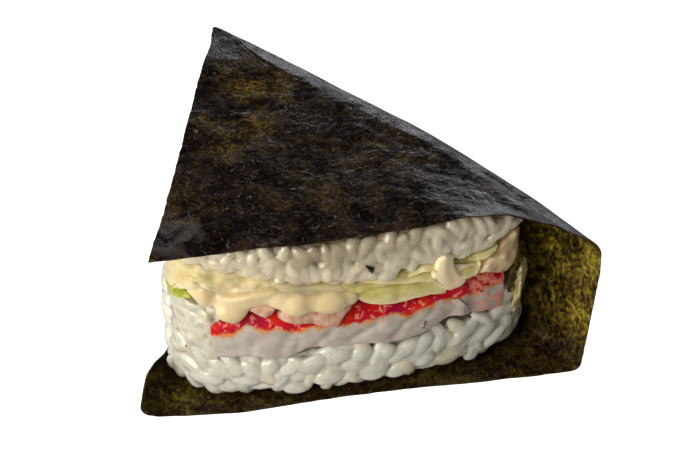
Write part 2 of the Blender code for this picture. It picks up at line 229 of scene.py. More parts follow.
def smoothGrid(grid, times):
    # rounds the folds and leaves the corners where they are
    for _ in range(times):
        for axis in (0, 1):
            cells = np.moveaxis(grid, axis, 0)
            cells[1:-1] = mix(cells[1:-1], (cells[:-2] + cells[2:]) / 2, 0.5)
    return grid


def resample(line, count):
    # a line of points taken at equal steps along it
    line = np.array(line, float)
    lengths = np.concatenate([[0], np.cumsum(np.linalg.norm(np.diff(line[:, :2], axis=0), axis=1))])
    places = np.linspace(0, lengths[-1], count)
    return np.stack([np.interp(places, lengths, line[:, k]) for k in range(line.shape[1])], axis=1)


def finishPiece(piece, slotName, *nodes):
    if nodes:
        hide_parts(*nodes)
    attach(piece, "root")
    print(piece.name, "done:", len(piece.data.polygons), "faces")
    return piece


# where the front of the rice is

def surfaceOf(node):
    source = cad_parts[node].data
    return BVHTree.FromPolygons([v.co[:] for v in source.vertices], [p.vertices[:] for p in source.polygons])


bedSurface = surfaceOf("rice_lower")
noriSurface = surfaceOf("nori_sheet")
bedLow, bedHigh = (np.array(corner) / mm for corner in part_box("rice_lower"))


def findFront():
    xs, ys = [], []
    for x in np.arange(bedLow[0] + 0.4, bedHigh[0] - 0.3, 0.5):
        hit = bedSurface.ray_cast(Vector((x * mm, -0.1, 7 * mm)), Vector((0, 1, 0)))[0]
        if hit:
            xs.append(x)
            ys.append(hit[1] / mm)
    return np.array(xs), np.array(ys)


frontXs, frontYs = findFront()


def frontY(x):
    return np.interp(x, frontXs, frontYs)


def frontSlope(x):
    # which way the front faces at this x: its outward direction as (x, y)
    slope = (frontY(x + 1) - frontY(x - 1)) / 2
    away = np.stack([slope, -np.ones_like(slope)], axis=-1)
    return away / np.linalg.norm(away, axis=-1, keepdims=True)


camera = {"azimuth": -12, "elevation": 39, "distance": 500, "lens": 115.7, "target": (2.9, -3.2, 15)}


def cameraSide():
    # the direction from the rice ball to the camera
    turned, raised = math.radians(camera["azimuth"]), math.radians(camera["elevation"])
    return np.array([math.sin(turned) * math.cos(raised), -math.cos(turned) * math.cos(raised), math.sin(raised)])


def onFront(spots):
    # places given as x, height on the front, and how far they stand out from it towards the camera
    spots = np.asarray(spots, float)
    x, z, out = spots[..., 0], spots[..., 1], spots[..., 2]
    sight = cameraSide()
    facing = (frontSlope(x) * sight[:2]).sum(axis=-1)
    return np.stack([x, frontY(x), z], axis=-1) + sight * (out / facing)[..., None]


def frontPlace(points):
    # where on the front a point is seen: x and height
    sight = cameraSide()
    x = points[:, 0]
    for _ in range(4):
        ahead = (points[:, 1] - frontY(x)) / sight[1]
        x = points[:, 0] - sight[0] * ahead
    return x, points[:, 2] - sight[2] * ahead


def loft(lines, columns, rows, softening=3):
    # a smooth grid of places through lines of places, from the first line to the last
    lines = np.array([resample(line, columns) for line in lines])
    steps = np.linspace(0, len(lines) - 1, rows)
    grid = np.array([[np.interp(steps, np.arange(len(lines)), lines[:, c, k]) for k in range(3)] for c in range(columns)])
    return smoothGrid(grid.transpose(2, 0, 1).copy(), softening)


def slab(lines, depth, columns=60, rows=20, relief=None):
    # a closed body with this front, going back this far
    spots = loft(lines, columns, rows)
    if relief is not None:
        spots[..., 2] += relief(spots[..., 0], spots[..., 1])
    front = onFront(spots)
    back = front - np.concatenate([frontSlope(spots[..., 0]), np.zeros(spots.shape[:2] + (1,))], axis=-1) * depth
    return between(front, back)


def lump(x, z, out, width, depth, height):
    # a rounded lump seen at this place of the front
    centre = onFront([x, z, out])
    a = np.linspace(0.02, math.pi - 0.02, 13)[:, None]
    b = np.linspace(0, 2 * math.pi, 20, endpoint=False)[None, :]
    ring = np.stack([np.sin(a) * np.cos(b), np.sin(a) * np.sin(b), np.cos(a) + 0 * b], axis=-1)
    points = ring.reshape(-1, 3) * [width, depth, height] + centre
    faces = [list(range(20))[::-1], list(range(240, 260))]
    for i in range(12):
        for k in range(20):
            n = (k + 1) % 20
            faces.append([20 * i + k, 20 * i + n, 20 * i + 20 + n, 20 * i + 20 + k][::-1])
    return points, faces


# camera, floor, light

def addCamera():
    data = bpy.data.cameras.new("camera")
    data.lens = camera["lens"]
    data.clip_start, data.clip_end = 0.01, 20
    back = Vector(cameraSide())
    seat = bpy.data.objects.new("camera", data)
    seat.location = (Vector(camera["target"]) + camera["distance"] * back) * mm
    seat.rotation_mode = "QUATERNION"
    seat.rotation_quaternion = (-back).to_track_quat("-Z", "Y")
    bpy.context.scene.collection.objects.link(seat)
    bpy.context.scene.camera = seat


def addFloor():
    # studio paper, matt white
    material, tree = newMaterial("studioPaper")
    coords = addNode(tree, "ShaderNodeTexCoord")
    grain = addNode(tree, "ShaderNodeTexNoise", {"Vector": coords.outputs["Object"], "Scale": 300.0, "Detail": 3.0})
    tint = addNode(tree, "ShaderNodeValToRGB", {"Fac": grain.outputs["Fac"]}, [(0.3, "c8c8c8"), (0.7, "d0d0d0")])
    # it looks white, and sends little of its light back up
    seen = addNode(tree, "ShaderNodeLightPath").outputs["Is Camera Ray"]
    glow = addNode(tree, "ShaderNodeMapRange", {"Value": seen, "To Min": 0.05, "To Max": 1.0})
    paper = addNode(tree, "ShaderNodeBsdfPrincipled", {"Base Color": tint.outputs["Color"], "Roughness": 0.9,
                                                       "Emission Color": linear("ffffff"), "Emission Strength": glow})
    addNode(tree, "ShaderNodeOutputMaterial", {"Surface": paper})
    half = 2500
    mesh = meshOf("floor", [[-half, -half, 0], [half, -half, 0], [half, half, 0], [-half, half, 0]], [[0, 1, 2, 3]])
    addObject("floor", mesh, material)


def addLamp(name, place, aim, size, power, colour="ffffff"):
    data = bpy.data.lights.new(name, "AREA")
    data.shape = "RECTANGLE"
    data.size, data.size_y = size[0] * mm, size[1] * mm
    data.energy = power
    data.color = linear(colour)[:3]
    lamp = bpy.data.objects.new(name, data)
    lamp.location = Vector(place) * mm
    lamp.rotation_euler = (Vector(aim) - Vector(place)).to_track_quat("-Z", "Y").to_euler()
    bpy.context.scene.collection.objects.link(lamp)


def addLight():
    world = bpy.data.worlds.new("studio")
    world.use_nodes = True
    tree = world.node_tree
    background = tree.nodes["Background"]
    background.inputs["Color"].default_value = linear("fffdf8")
    # the room is white to look at and gives little light itself
    seen = addNode(tree, "ShaderNodeLightPath").outputs["Is Camera Ray"]
    strength = addNode(tree, "ShaderNodeMapRange", {"Value": seen, "To Min": 0.16, "To Max": 1.0})
    tree.links.new(strength.outputs["Result"], background.inputs["Strength"])
    bpy.context.scene.world = world
    bpy.context.scene.view_settings.view_transform = "Standard"
    middle = (0, -10, 15)
    addLamp("keyLeft", (-400, -270, 260), middle, (420, 420), 3.4, "fffaf2")
    addLamp("lowBack", (230, 450, 110), middle, (420, 90), 0.6, "f3f4ff")


addCamera()
addFloor()
addLight()
print("camera, floor and light done")


# nori: one sheet, folded over the top and under the rice

noriLook = {
    "thickness": 0.3,
    "rows": 116,
    "columns": 276,
    "smoothing": 5,
    "crumple": 0.22,
    "wrinkle": 0.30,
    "fold": 8.0,
    "top": 42.3,
    "tipDrop": 2.2,
    # plan of the sheet's lines: the flap's cut edge, the fold, and the feet of the two walls
    "flapEdge": [(-45.9, -40.2), (-19.5, 43.0)],
    "ridge": [(49.1, -40.0), (38.8, -26.2), (28.8, -14.7), (15.7, 1.0), (-1.6, 24.1), (-10.7, 35.4),
              (-17.6, 43.4)],
    "footRight": [(45.0, -44.0), (42.4, -36.8), (39.6, -30.4), (35.1, -22.8), (21.8, -5.7), (8.4, 10.4),
                  (-1.8, 22.8), (-5.8, 27.2), (-9.1, 29.5), (-12.1, 30.5), (-15.8, 30.7)],
    "footLeft": [(-49.9, -40.2), (-48.2, -34.2), (-45.5, -29.0), (-41.4, -22.8), (-37.1, -6.2),
                 (-31.4, 9.7), (-27.0, 21.8), (-24.8, 26.0), (-21.2, 29.0), (-17.3, 30.5)],
    "leftLean": 0.8,
    "leftHeight": [(0, 7.4), (0.07, 7.4), (0.14, 6.5), (0.22, 4.4), (0.5, 4.8), (1, 20.0)],
    "flapWave": [(-45.1, 0), (-29.1, 0.9), (-9.1, -0.4), (5.9, 0), (22.9, 2.2), (30.9, 3.2), (37.9, 1.6)],
    "underWave": [(-45.1, 0.45), (-39.1, -0.85), (-33.1, -1.35), (-28.1, -1.15), (-24.1, -0.65),
                  (-15.1, -0.45), (-8.1, 0.25), (-1.6, 0.65), (4.9, 0.65), (11.4, 0.05), (17.9, -0.05),
                  (24.9, -0.25), (42.9, -0.25)],
    # how far the flap's cut edge bows in, and the fold stands out, from front to tip
    "edgeBow": [(0, 0), (0.3, 0.45), (0.7, 0.4), (0.8, 0.7), (0.88, 0.9), (0.95, 0.5), (1, 0)],
    "foldOut": [(0, 0.0), (0.05, 0.6), (0.15, 1.25), (0.8, 1.25), (0.9, 0.5), (1, 0)],
    # the curled corner: x, y, radius, rise
    "cornerCurl": (-47.0, -37.0, 6.0, 0.9),
    # the slit by the tip: where along the edge, its half width and its depth
    "slit": (0.915, 0.0022, 1.7),
    # thin places of the flap: x, y, radius, how thin
    "thinSpots": [(-14.0, 15.5, 8.0, 0.95), (-9.0, 11.5, 6.0, 0.7), (-19.5, 1.0, 6.5, 0.85), (-24.0, -6.0, 6.0, 0.6),
                  (-19.0, 22.0, 6.0, 0.6), (-10.0, -22.0, 15.0, 0.3), (10.0, -18.0, 18.0, 0.25), (-38.0, -24.0, 9.0, 0.4),
                  (-46.5, -40.5, 3.0, 1.0), (-28.0, 6.0, 5.0, 0.6)],
    # places with a painted grey sheen: x, y, radius, how strong
    "wornSpots": [(-38.5, -31.5, 5.5, 0.65), (-42.5, -36.0, 3.5, 0.5), (-33.0, -34.5, 4.0, 0.35),
                  (-20.0, 36.0, 5.0, 0.4)],
}


def lineAt(line, f):
    line = np.array(line, float)
    lengths = np.concatenate([[0], np.cumsum(np.linalg.norm(np.diff(line, axis=0), axis=1))])
    return np.array([np.interp(f * lengths[-1], lengths, line[:, k]) for k in (0, 1)])


def sag(x, y):
    # how far the top sinks towards the front right corner, where no rice holds it up
    across, up = x - noriLook["ridge"][0][0], y - noriLook["ridge"][0][1]
    return 8.0 * (1 - ease(-5, 55, -0.613 * across + 0.79 * up)) * (1 - ease(2, 25, -0.79 * across - 0.613 * up))


def noriRow(f):
    # one line across the sheet, from the top flap's cut edge round the fold and under to the left wall
    look = noriLook
    ridge, right, left = (lineAt(look[k], f) for k in ("ridge", "footRight", "footLeft"))
    edge = mix(np.array(look["flapEdge"][0]), np.array(look["flapEdge"][1]), f) + [along(look["edgeBow"], f), 0]
    ridge = ridge + np.array([0.79, 0.613]) * along(look["foldOut"], f)
    fold = mix(look["fold"], 1.1, ease(0.75, 1, f)) / 0.79
    roof = look["top"] - look["tipDrop"] * ease(0.78, 1, f)
    row = []
    for t in (0, 0.14, 0.3, 0.46, 0.62, 0.76, 0.88, 1):
        place = mix(edge, ridge - np.array([fold, 0]), t)
        row.append((*place, roof))
    for share, drop in ((0.5, 1.1), (0.18, 3.4), (0.03, 6.2)):
        row.append((ridge[0] - fold * share, ridge[1], roof - drop * mix(1, 0.5, ease(0.8, 1, f))))
    for part, z in ((0.45, 29.0), (0.15, 21.0), (0, 12.0), (0, 4.0)):
        place = mix(right, ridge, part if f > 0.6 else mix(z / 32, part, ease(0, 0.5, f)))
        row.append((*place, z))
    underRight = right + np.array([-1.6, 0]) * mix(1, 0.15, ease(0.8, 1, f))
    underLeft = left + np.array([4.0, 0]) * mix(1, 0.12, ease(0.8, 1, f))
    row.append((*mix(right, underRight, 0.2), 0.9))
    row += [(*mix(underRight, underLeft, t), 0.2) for t in (0, 0.2, 0.4, 0.6, 0.8, 1)]
    row.append((*mix(left, underLeft, 0.3), 1.5))
    lean = look["leftLean"] * (1 - ease(0.1, 0.3, f))
    for t, share in ((0.3, 0), (0.65, 0.35), (1, 1)):
        row.append((left[0] + lean * share, left[1], mix(1.5, along(look["leftHeight"], f), t)))
    row = np.array(row)
    row[:14, 2] -= [sag(x, y) * z / look["top"] for x, y, z in row[:14]]
    front = 1 - ease(0, 0.05, f)
    row[:8, 1] += along(look["flapWave"], row[:8, 0]) * front
    row[15:22, 1] += along(look["underWave"], row[15:22, 0]) * front
    return row


def noriMaterial():
    # nori: laver pulped, dried as a thin mat and roasted. Near black and mottled with brown, amber where the
    # mat is thin, crinkled so that it glints, with pale hairs of fibre and a painted grey sheen in places; olive
    # inside, painted brighter where light would come through the wall
    material, tree = newMaterial("roastedNori")
    coords = addNode(tree, "ShaderNodeTexCoord").outputs["Object"]
    inner = addNode(tree, "ShaderNodeAttribute", attribute_name="inner").outputs["Fac"]
    thin = addNode(tree, "ShaderNodeAttribute", attribute_name="thin").outputs["Fac"]
    lit = addNode(tree, "ShaderNodeAttribute", attribute_name="lit").outputs["Fac"]
    warp = addNode(tree, "ShaderNodeTexNoise", {"Vector": coords, "Scale": 160.0, "Detail": 3.0})
    bent = addNode(tree, "ShaderNodeVectorMath", {0: warp.outputs["Color"], "Scale": 0.004}, operation="SCALE")
    curled = addNode(tree, "ShaderNodeVectorMath", {0: coords, 1: bent.outputs["Vector"]}, operation="ADD")
    curled = curled.outputs["Vector"]
    pulp = addNode(tree, "ShaderNodeTexNoise", {"Vector": curled, "Scale": 760.0, "Detail": 5.0, "Roughness": 0.72,
                                                "Distortion": 1.3})
    patches = addNode(tree, "ShaderNodeTexNoise", {"Vector": curled, "Scale": 150.0, "Detail": 5.0, "Roughness": 0.62,
                                                   "Distortion": 0.6})
    ground = addNode(tree, "ShaderNodeValToRGB", {"Fac": pulp.outputs["Fac"]},
                     [(0.43, "030304"), (0.50, "120706"), (0.56, "2c190f"), (0.64, "5e4c30")])
    brown = addNode(tree, "ShaderNodeValToRGB", {"Fac": patches.outputs["Fac"]},
                    [(0.44, "040303"), (0.52, "190a06"), (0.60, "38220a")])
    outer = addNode(tree, "ShaderNodeMix", {0: 0.45, 6: ground.outputs["Color"], 7: brown.outputs["Color"]},
                    data_type="RGBA")
    # hairs of fibre: thin level lines of a slow noise, kept in short runs
    swirl = addNode(tree, "ShaderNodeTexNoise", {"Vector": coords, "Scale": 250.0, "Detail": 1.5})
    level = addNode(tree, "ShaderNodeMath", {0: swirl.outputs["Fac"], 1: 0.5, 2: 0.008}, operation="COMPARE")
    runs = addNode(tree, "ShaderNodeTexNoise", {"Vector": coords, "Scale": 520.0, "Detail": 1.0})
    runs = addNode(tree, "ShaderNodeMapRange", {"Value": runs.outputs["Fac"], "From Min": 0.57, "From Max": 0.62,
                                                "To Min": 0.0, "To Max": 0.7})
    hair = addNode(tree, "ShaderNodeMath", {0: level, 1: runs}, operation="MULTIPLY")
    outer = addNode(tree, "ShaderNodeMix", {0: hair, 6: outer.outputs[2], 7: linear("8a8270")}, data_type="RGBA")
    # painted sheen: a grey bloom where the mat would catch the light
    worn = addNode(tree, "ShaderNodeAttribute", attribute_name="worn").outputs["Fac"]
    paintedSheenBloom = addNode(tree, "ShaderNodeMapRange", {"Value": patches.outputs["Fac"], "From Min": 0.45, "From Max": 0.58})
    paintedSheenBloom = addNode(tree, "ShaderNodeMath", {0: paintedSheenBloom, 1: worn}, operation="MULTIPLY")
    outer = addNode(tree, "ShaderNodeMix", {0: paintedSheenBloom, 6: outer.outputs[2], 7: linear("66646a")}, data_type="RGBA")
    amber = addNode(tree, "ShaderNodeValToRGB", {"Fac": pulp.outputs["Fac"]},
                    [(0.40, "140c04"), (0.5, "4a3706"), (0.60, "8a700c")])
    spread = addNode(tree, "ShaderNodeMath", {0: patches.outputs["Fac"], 1: 0.48}, operation="SUBTRACT")
    spread = addNode(tree, "ShaderNodeMath", {0: spread, 1: 5.0, 2: thin}, operation="MULTIPLY_ADD")
    spread = addNode(tree, "ShaderNodeMath", {0: spread, 1: thin}, operation="MULTIPLY", use_clamp=True)
    outer = addNode(tree, "ShaderNodeMix", {0: spread, 6: outer.outputs[2], 7: amber.outputs["Color"]},
                    data_type="RGBA")
    # inside: olive in flecks about 0.8 mm wide laid on the slant, painted brightest where light would come
    # through the wall (painted light) and darker where it would not (painted shade)
    laid = addNode(tree, "ShaderNodeMapping", {"Vector": curled, "Rotation": (1.0, 0, 0.9), "Scale": (1150, 700, 700)})
    flecks = addNode(tree, "ShaderNodeTexNoise", {"Vector": laid, "Scale": 1.0, "Detail": 6.0, "Roughness": 0.7})
    clouded = addNode(tree, "ShaderNodeMath", {0: patches.outputs["Fac"], 1: 0.5}, operation="SUBTRACT")
    clouded = addNode(tree, "ShaderNodeMath", {0: clouded, 1: 0.65, 2: flecks.outputs["Fac"]}, operation="MULTIPLY_ADD")
    olive = addNode(tree, "ShaderNodeValToRGB", {"Fac": clouded},
                    [(0.36, "120c04"), (0.45, "35280a"), (0.54, "5e4e10"), (0.68, "a2922a")])
    paintedShadeInside = addNode(tree, "ShaderNodeMix", {0: 0.2, 6: ground.outputs["Color"], 7: olive.outputs["Color"]},
                         data_type="RGBA")
    inside = addNode(tree, "ShaderNodeMix", {0: lit, 6: paintedShadeInside.outputs[2], 7: olive.outputs["Color"]},
                     data_type="RGBA")
    colour = addNode(tree, "ShaderNodeMix", {0: inner, 6: outer.outputs[2], 7: inside.outputs[2]}, data_type="RGBA")
    rough = addNode(tree, "ShaderNodeMapRange", {"Value": pulp.outputs["Fac"], "From Min": 0.35, "From Max": 0.65,
                                                 "To Min": 0.16, "To Max": 0.36})
    rough = addNode(tree, "ShaderNodeMath", {0: inner, 1: 0.2, 2: rough}, operation="MULTIPLY_ADD")
    # crinkles about 1.2 mm across, and longer streaks that run down to the right
    crinkle = addNode(tree, "ShaderNodeTexNoise", {"Vector": curled, "Scale": 620.0, "Detail": 4.0, "Roughness": 0.6})
    laid = addNode(tree, "ShaderNodeMapping", {"Vector": curled, "Rotation": (0, 0, 0.35), "Scale": (180, 800, 500)})
    streaks = addNode(tree, "ShaderNodeTexNoise", {"Vector": laid, "Scale": 1.0, "Detail": 3.0})
    drawn = addNode(tree, "ShaderNodeAttribute", attribute_name="drawn").outputs["Fac"]
    streaks = addNode(tree, "ShaderNodeMath", {0: streaks.outputs["Fac"], 1: drawn}, operation="MULTIPLY")
    height = addNode(tree, "ShaderNodeMath", {0: streaks, 1: 0.5, 2: crinkle.outputs["Fac"]}, operation="MULTIPLY_ADD")
    bump = addNode(tree, "ShaderNodeBump", {"Height": height, "Strength": 0.5, "Distance": 0.0005})
    # the shine comes and goes with the patches
    shine = addNode(tree, "ShaderNodeMapRange", {"Value": patches.outputs["Fac"], "From Min": 0.42, "From Max": 0.58,
                                                 "To Min": 0.08, "To Max": 0.34})
    mat = addNode(tree, "ShaderNodeBsdfPrincipled", {"Base Color": colour.outputs[2], "Roughness": rough,
                                                     "Normal": bump, "IOR": 1.45, "Specular IOR Level": shine})
    through = addNode(tree, "ShaderNodeBsdfTranslucent", {"Color": linear("8a7416"), "Normal": bump})
    share = addNode(tree, "ShaderNodeMath", {0: flecks.outputs["Fac"], 1: 0.26}, operation="MULTIPLY")
    mat = addNode(tree, "ShaderNodeMixShader", {0: share, 1: mat, 2: through})
    addNode(tree, "ShaderNodeOutputMaterial", {"Surface": mat})
    return material


def noriGrid():
    look = noriLook
    at, half, _ = look["slit"]
    fs = np.sort(np.concatenate([np.linspace(0, 1, look["rows"]), [at - half, at, at + half]]))
    coarse = np.array([noriRow(f) for f in fs])
    steps = np.linalg.norm(np.diff(coarse, axis=1), axis=2).mean(axis=0)
    lengths = np.concatenate([[0], np.cumsum(steps)])
    places = np.linspace(0, lengths[-1], look["columns"])
    grid = np.empty((len(fs), len(places), 3))
    for i, row in enumerate(coarse):
        for k in range(3):
            grid[i, :, k] = np.interp(places, lengths, row[:, k])
    grid = smoothGrid(grid, look["smoothing"])
    return grid, places, lengths, fs


def buildNori():
    look = noriLook
    grid, places, lengths, fs = noriGrid()
    normal = gridNormals(grid)
    # places across the sheet, from the flap's cut edge: the ridge, the foot of the wall and the left fold
    ridgeAt, footAt, leftAt = lengths[10], lengths[15], lengths[22]
    fromRidge = places - lengths[9]
    flap = 1 - ease(lengths[7] - 2, lengths[8] + 2, places)
    wall = ease(ridgeAt - 1, ridgeAt + 4, places) * (1 - ease(footAt - 7, footAt + 1, places))
    under = ease(footAt - 2, footAt + 2, places) * (1 - ease(leftAt - 3, leftAt, places))
    length = 85.0
    down = np.broadcast_to(fs[:, None] * length, grid.shape[:2])
    across = np.broadcast_to(fromRidge[None, :], grid.shape[:2])
    # long wrinkles beside the fold, shallow ones over the flap, and an even crumple
    ridged = np.stack([across * 1.0, down * 0.16, across * 0], axis=2)
    folds = noise(ridged, 2.6, 5) + 0.5 * noise(ridged + 40, 1.5, 6)
    nearFold = (np.exp(-((fromRidge + 5.0) / 7.0) ** 2) * (1 - ease(-2.5, 1.5, fromRidge)))[None, :]
    turned = np.stack([grid[..., 0] * 0.22 + grid[..., 1] * 0.03, grid[..., 1] + grid[..., 0] * 0.18, grid[..., 2] * 0.3], axis=2)
    streaks = noise(turned, 2.4, 8) + 0.5 * noise(turned, 1.3, 9)
    crumple = noise(grid, 9.0, 1) + 0.5 * noise(grid, 4.5, 2) + 0.25 * noise(grid, 2.2, 3)
    outline = 1 - 0.8 * np.exp(-((fromRidge - 1.0) / 4.0) ** 2)
    lift = look["crumple"] * crumple * ((1 - 0.75 * under) * outline)[None, :]
    lift = lift + look["wrinkle"] * folds * nearFold
    # where the streaks show: towards the right, and beside the fold
    drawn = 0.1 + 0.9 * np.maximum(ease(-22, 12, grid[..., 0] + 0.5 * grid[..., 1]), 0.8 * ease(-16, -7, across))
    lift = lift + 0.11 * streaks * flap[None, :] * drawn
    lift = lift * (1 - 0.8 * under)[None, :]
    # the front left corner of the flap curls up
    x, y, radius, rise = look["cornerCurl"]
    corner = np.exp(-((grid[..., 0] - x) ** 2 + (grid[..., 1] - y) ** 2) / radius ** 2) * flap[None, :]
    grid[..., 2] += rise * corner
    grid = grid + normal * lift[..., None]
    # cut edges waver a little
    edgeRun = np.stack([down[:, 0], down[:, 0] * 0, down[:, 0] * 0], axis=1)
    grid[:, 0, 0] += 0.2 * noise(edgeRun, 2.5, 21) + 0.12 * noise(edgeRun, 0.9, 25)
    at, _, depth = look["slit"]
    row = int(np.argmin(np.abs(fs - at)))
    grid[row, :6, 0] = np.maximum(grid[row, :6, 0], grid[row, 0, 0] + depth + np.linspace(0, 0.2, 6))
    crossRun = np.stack([places, places * 0, places * 0], axis=1)
    waver = 0.25 * noise(crossRun, 3.0, 31) + 0.15 * noise(crossRun, 1.1, 32)
    grid[0, :, 1] += waver
    normal = gridNormals(grid)
    half = look["thickness"] / 2
    # which side of the mid surface faces the rice
    row, column = len(grid) // 3, len(places) // 8
    towards = np.sign(((np.array([-3.0, -12.0, 20.0]) - grid[row, column]) * normal[row, column]).sum())
    points, faces = between(grid + normal * half * towards, grid - normal * half * towards)
    points[:, 2] = np.maximum(points[:, 2], 0.0)
    flat = grid.reshape(-1, 3)
    inner = np.repeat([1.0, 0.0], len(flat))
    # painted light: the wall's inside is painted brighter higher up, and the curled corner too, where light would come
    # through
    lit = (wall[None, :] * ease(1, 11, grid[..., 2])).ravel()
    curl = np.exp(-(((flat[:, 0] + 45) / 7) ** 2 + ((flat[:, 1] + 35) / 7) ** 2)) * (flat[:, 2] < 15)
    lit = np.maximum(lit, curl)
    spots = {"inner": inner, "lit": np.tile(lit, 2), "drawn": np.tile(drawn.ravel(), 2)}
    for key in ("thin", "worn"):
        amounts = np.zeros(len(flat))
        for x, y, radius, amount in look[key + "Spots"]:
            apart = ((flat[:, 0] - x) / radius) ** 2 + ((flat[:, 1] - y) / (0.9 * radius)) ** 2
            amounts = np.maximum(amounts, amount * np.exp(-apart))
        spots[key] = np.tile(amounts * np.broadcast_to(flap[None, :], grid.shape[:2]).ravel(), 2)
    mesh = meshOf("nori_wrap", points, faces, spots)
    mesh.set_sharp_from_angle(angle=math.radians(70))
    piece = addObject("nori_wrap", mesh, noriMaterial())
    finishPiece(piece, "nori", "nori_sheet")


buildNori()


# rice: a core of pressed rice with real grains over it

riceLook = {
    "bedInset": 1.0,
    # how far inside the flap's edge the rice stays at the top, and how much less for each mm below
    "underFlap": (0.7, 0.22),
    "capInset": 0.25,
    "bends": [(0.35, 0.0), (0.6, 0.12), (0.15, -0.1)],
    "front": {"length": 9.4, "width": 3.8, "thickness": 2.8, "spacing": 2.95, "tilt": 0.12, "lift": 0.9, "seed": 4,
              "voxel": 0.28, "soften": 3},
    "side": {"length": 8.6, "width": 3.5, "thickness": 2.6, "spacing": 2.3, "tilt": 0.2, "lift": 0.7, "seed": 9,
             "voxel": 0.45, "soften": 1},
    "cap": {"length": 5.8, "width": 2.9, "thickness": 2.5, "spacing": 1.9, "tilt": 0.3, "lift": 0.6, "seed": 11,
            "voxel": 0.26, "soften": 7},
    # the crumbled rice left of the crab stick
    "fill": [[(-38.6, 9.6, -0.6), (-36.0, 9.4, 0.1), (-32.6, 9.6, 0.0)],
             [(-39.8, 15.0, -0.6), (-37.0, 15.0, 0.3), (-32.6, 15.0, 0.2)],
             [(-40.6, 21.0, -0.5), (-37.6, 21.0, 0.3), (-32.4, 21.0, 0.1)],
             [(-41.0, 26.5, -0.6), (-38.0, 26.0, 0.0), (-31.0, 25.6, -0.4)],
             [(-40.6, 30.0, -3.0), (-38.0, 30.0, -3.0), (-31.2, 29.0, -3.0)]],
    # how much painted shade the upper rice gets, by x
    "soaked": [(-32, 0.16), (-20, 0.40), (-12, 0.85), (-2, 0.62), (10, 0.5), (18, 0.35), (30, 0.2)],
    # how dark the painted shade in a crease gets, and how deep one is that gets that dark, in mm
    "crease": (0.6, 0.2),
}


def riceMaterial(name, warm, cool, bright, darkToneAndShade, soaked, depth):
    # steamed short-grain rice: plump, sticky, half clear, with a moist shine and faint lengthwise grooves
    material, tree = newMaterial(name)
    coords = addNode(tree, "ShaderNodeTexCoord").outputs["Object"]
    tone = addNode(tree, "ShaderNodeAttribute", attribute_name="grainTone").outputs["Fac"]
    place = addNode(tree, "ShaderNodeAttribute", attribute_name="grainPlace").outputs["Vector"]
    core = addNode(tree, "ShaderNodeAttribute", attribute_name="core").outputs["Fac"]
    tint = addNode(tree, "ShaderNodeValToRGB", {"Fac": tone}, [(0.0, warm), (0.5, cool), (1.0, bright)])
    cloud = addNode(tree, "ShaderNodeTexNoise", {"Vector": coords, "Scale": 500.0, "Detail": 3.0})
    dim = addNode(tree, "ShaderNodeMapRange", {"Value": cloud.outputs["Fac"], "From Min": 0.35, "From Max": 0.65,
                                               "To Min": 0.0, "To Max": 0.25})
    tint = addNode(tree, "ShaderNodeMix", {0: dim, 6: tint.outputs["Color"], 7: linear(darkToneAndShade)}, data_type="RGBA")
    # creases between grains are painted darker, and so is the middle of the upper rice: painted shade
    crease = addNode(tree, "ShaderNodeAttribute", attribute_name="crease").outputs["Fac"]
    tint = addNode(tree, "ShaderNodeMix", {0: crease, 6: tint.outputs[2], 7: linear(darkToneAndShade)}, data_type="RGBA")
    wetLeafAndPaintedShade = addNode(tree, "ShaderNodeAttribute", attribute_name="soaked").outputs["Fac"]
    tint = addNode(tree, "ShaderNodeMix", {0: wetLeafAndPaintedShade, 6: tint.outputs[2], 7: linear(soaked)}, data_type="RGBA")
    apart = addNode(tree, "ShaderNodeSeparateXYZ", {0: place})
    around = addNode(tree, "ShaderNodeMath", {0: apart.outputs["Y"], 1: apart.outputs["Z"]}, operation="ARCTAN2")
    grooves = addNode(tree, "ShaderNodeMath", {0: around, 1: 7.0}, operation="MULTIPLY")
    grooves = addNode(tree, "ShaderNodeMath", {0: grooves}, operation="SINE")
    fade = addNode(tree, "ShaderNodeMath", {0: 1.0, 1: core}, operation="SUBTRACT")
    grooves = addNode(tree, "ShaderNodeMath", {0: grooves, 1: fade}, operation="MULTIPLY")
    fine = addNode(tree, "ShaderNodeTexNoise", {"Vector": coords, "Scale": 1400.0, "Detail": 2.0})
    height = addNode(tree, "ShaderNodeMath", {0: grooves, 1: 0.10, 2: fine.outputs["Fac"]}, operation="MULTIPLY_ADD")
    bump = addNode(tree, "ShaderNodeBump", {"Height": height, "Strength": 0.25, "Distance": 0.0003})
    grain = addNode(tree, "ShaderNodeBsdfPrincipled", {
        "Base Color": tint.outputs[2], "Roughness": 0.28, "IOR": 1.42, "Normal": bump,
        "Subsurface Weight": 0.9, "Subsurface Radius": (1.0, 0.92, 0.8), "Subsurface Scale": depth,
        "Coat Weight": 1.0, "Coat Roughness": 0.07, "Coat IOR": 1.45})
    addNode(tree, "ShaderNodeOutputMaterial", {"Surface": grain})
    return material


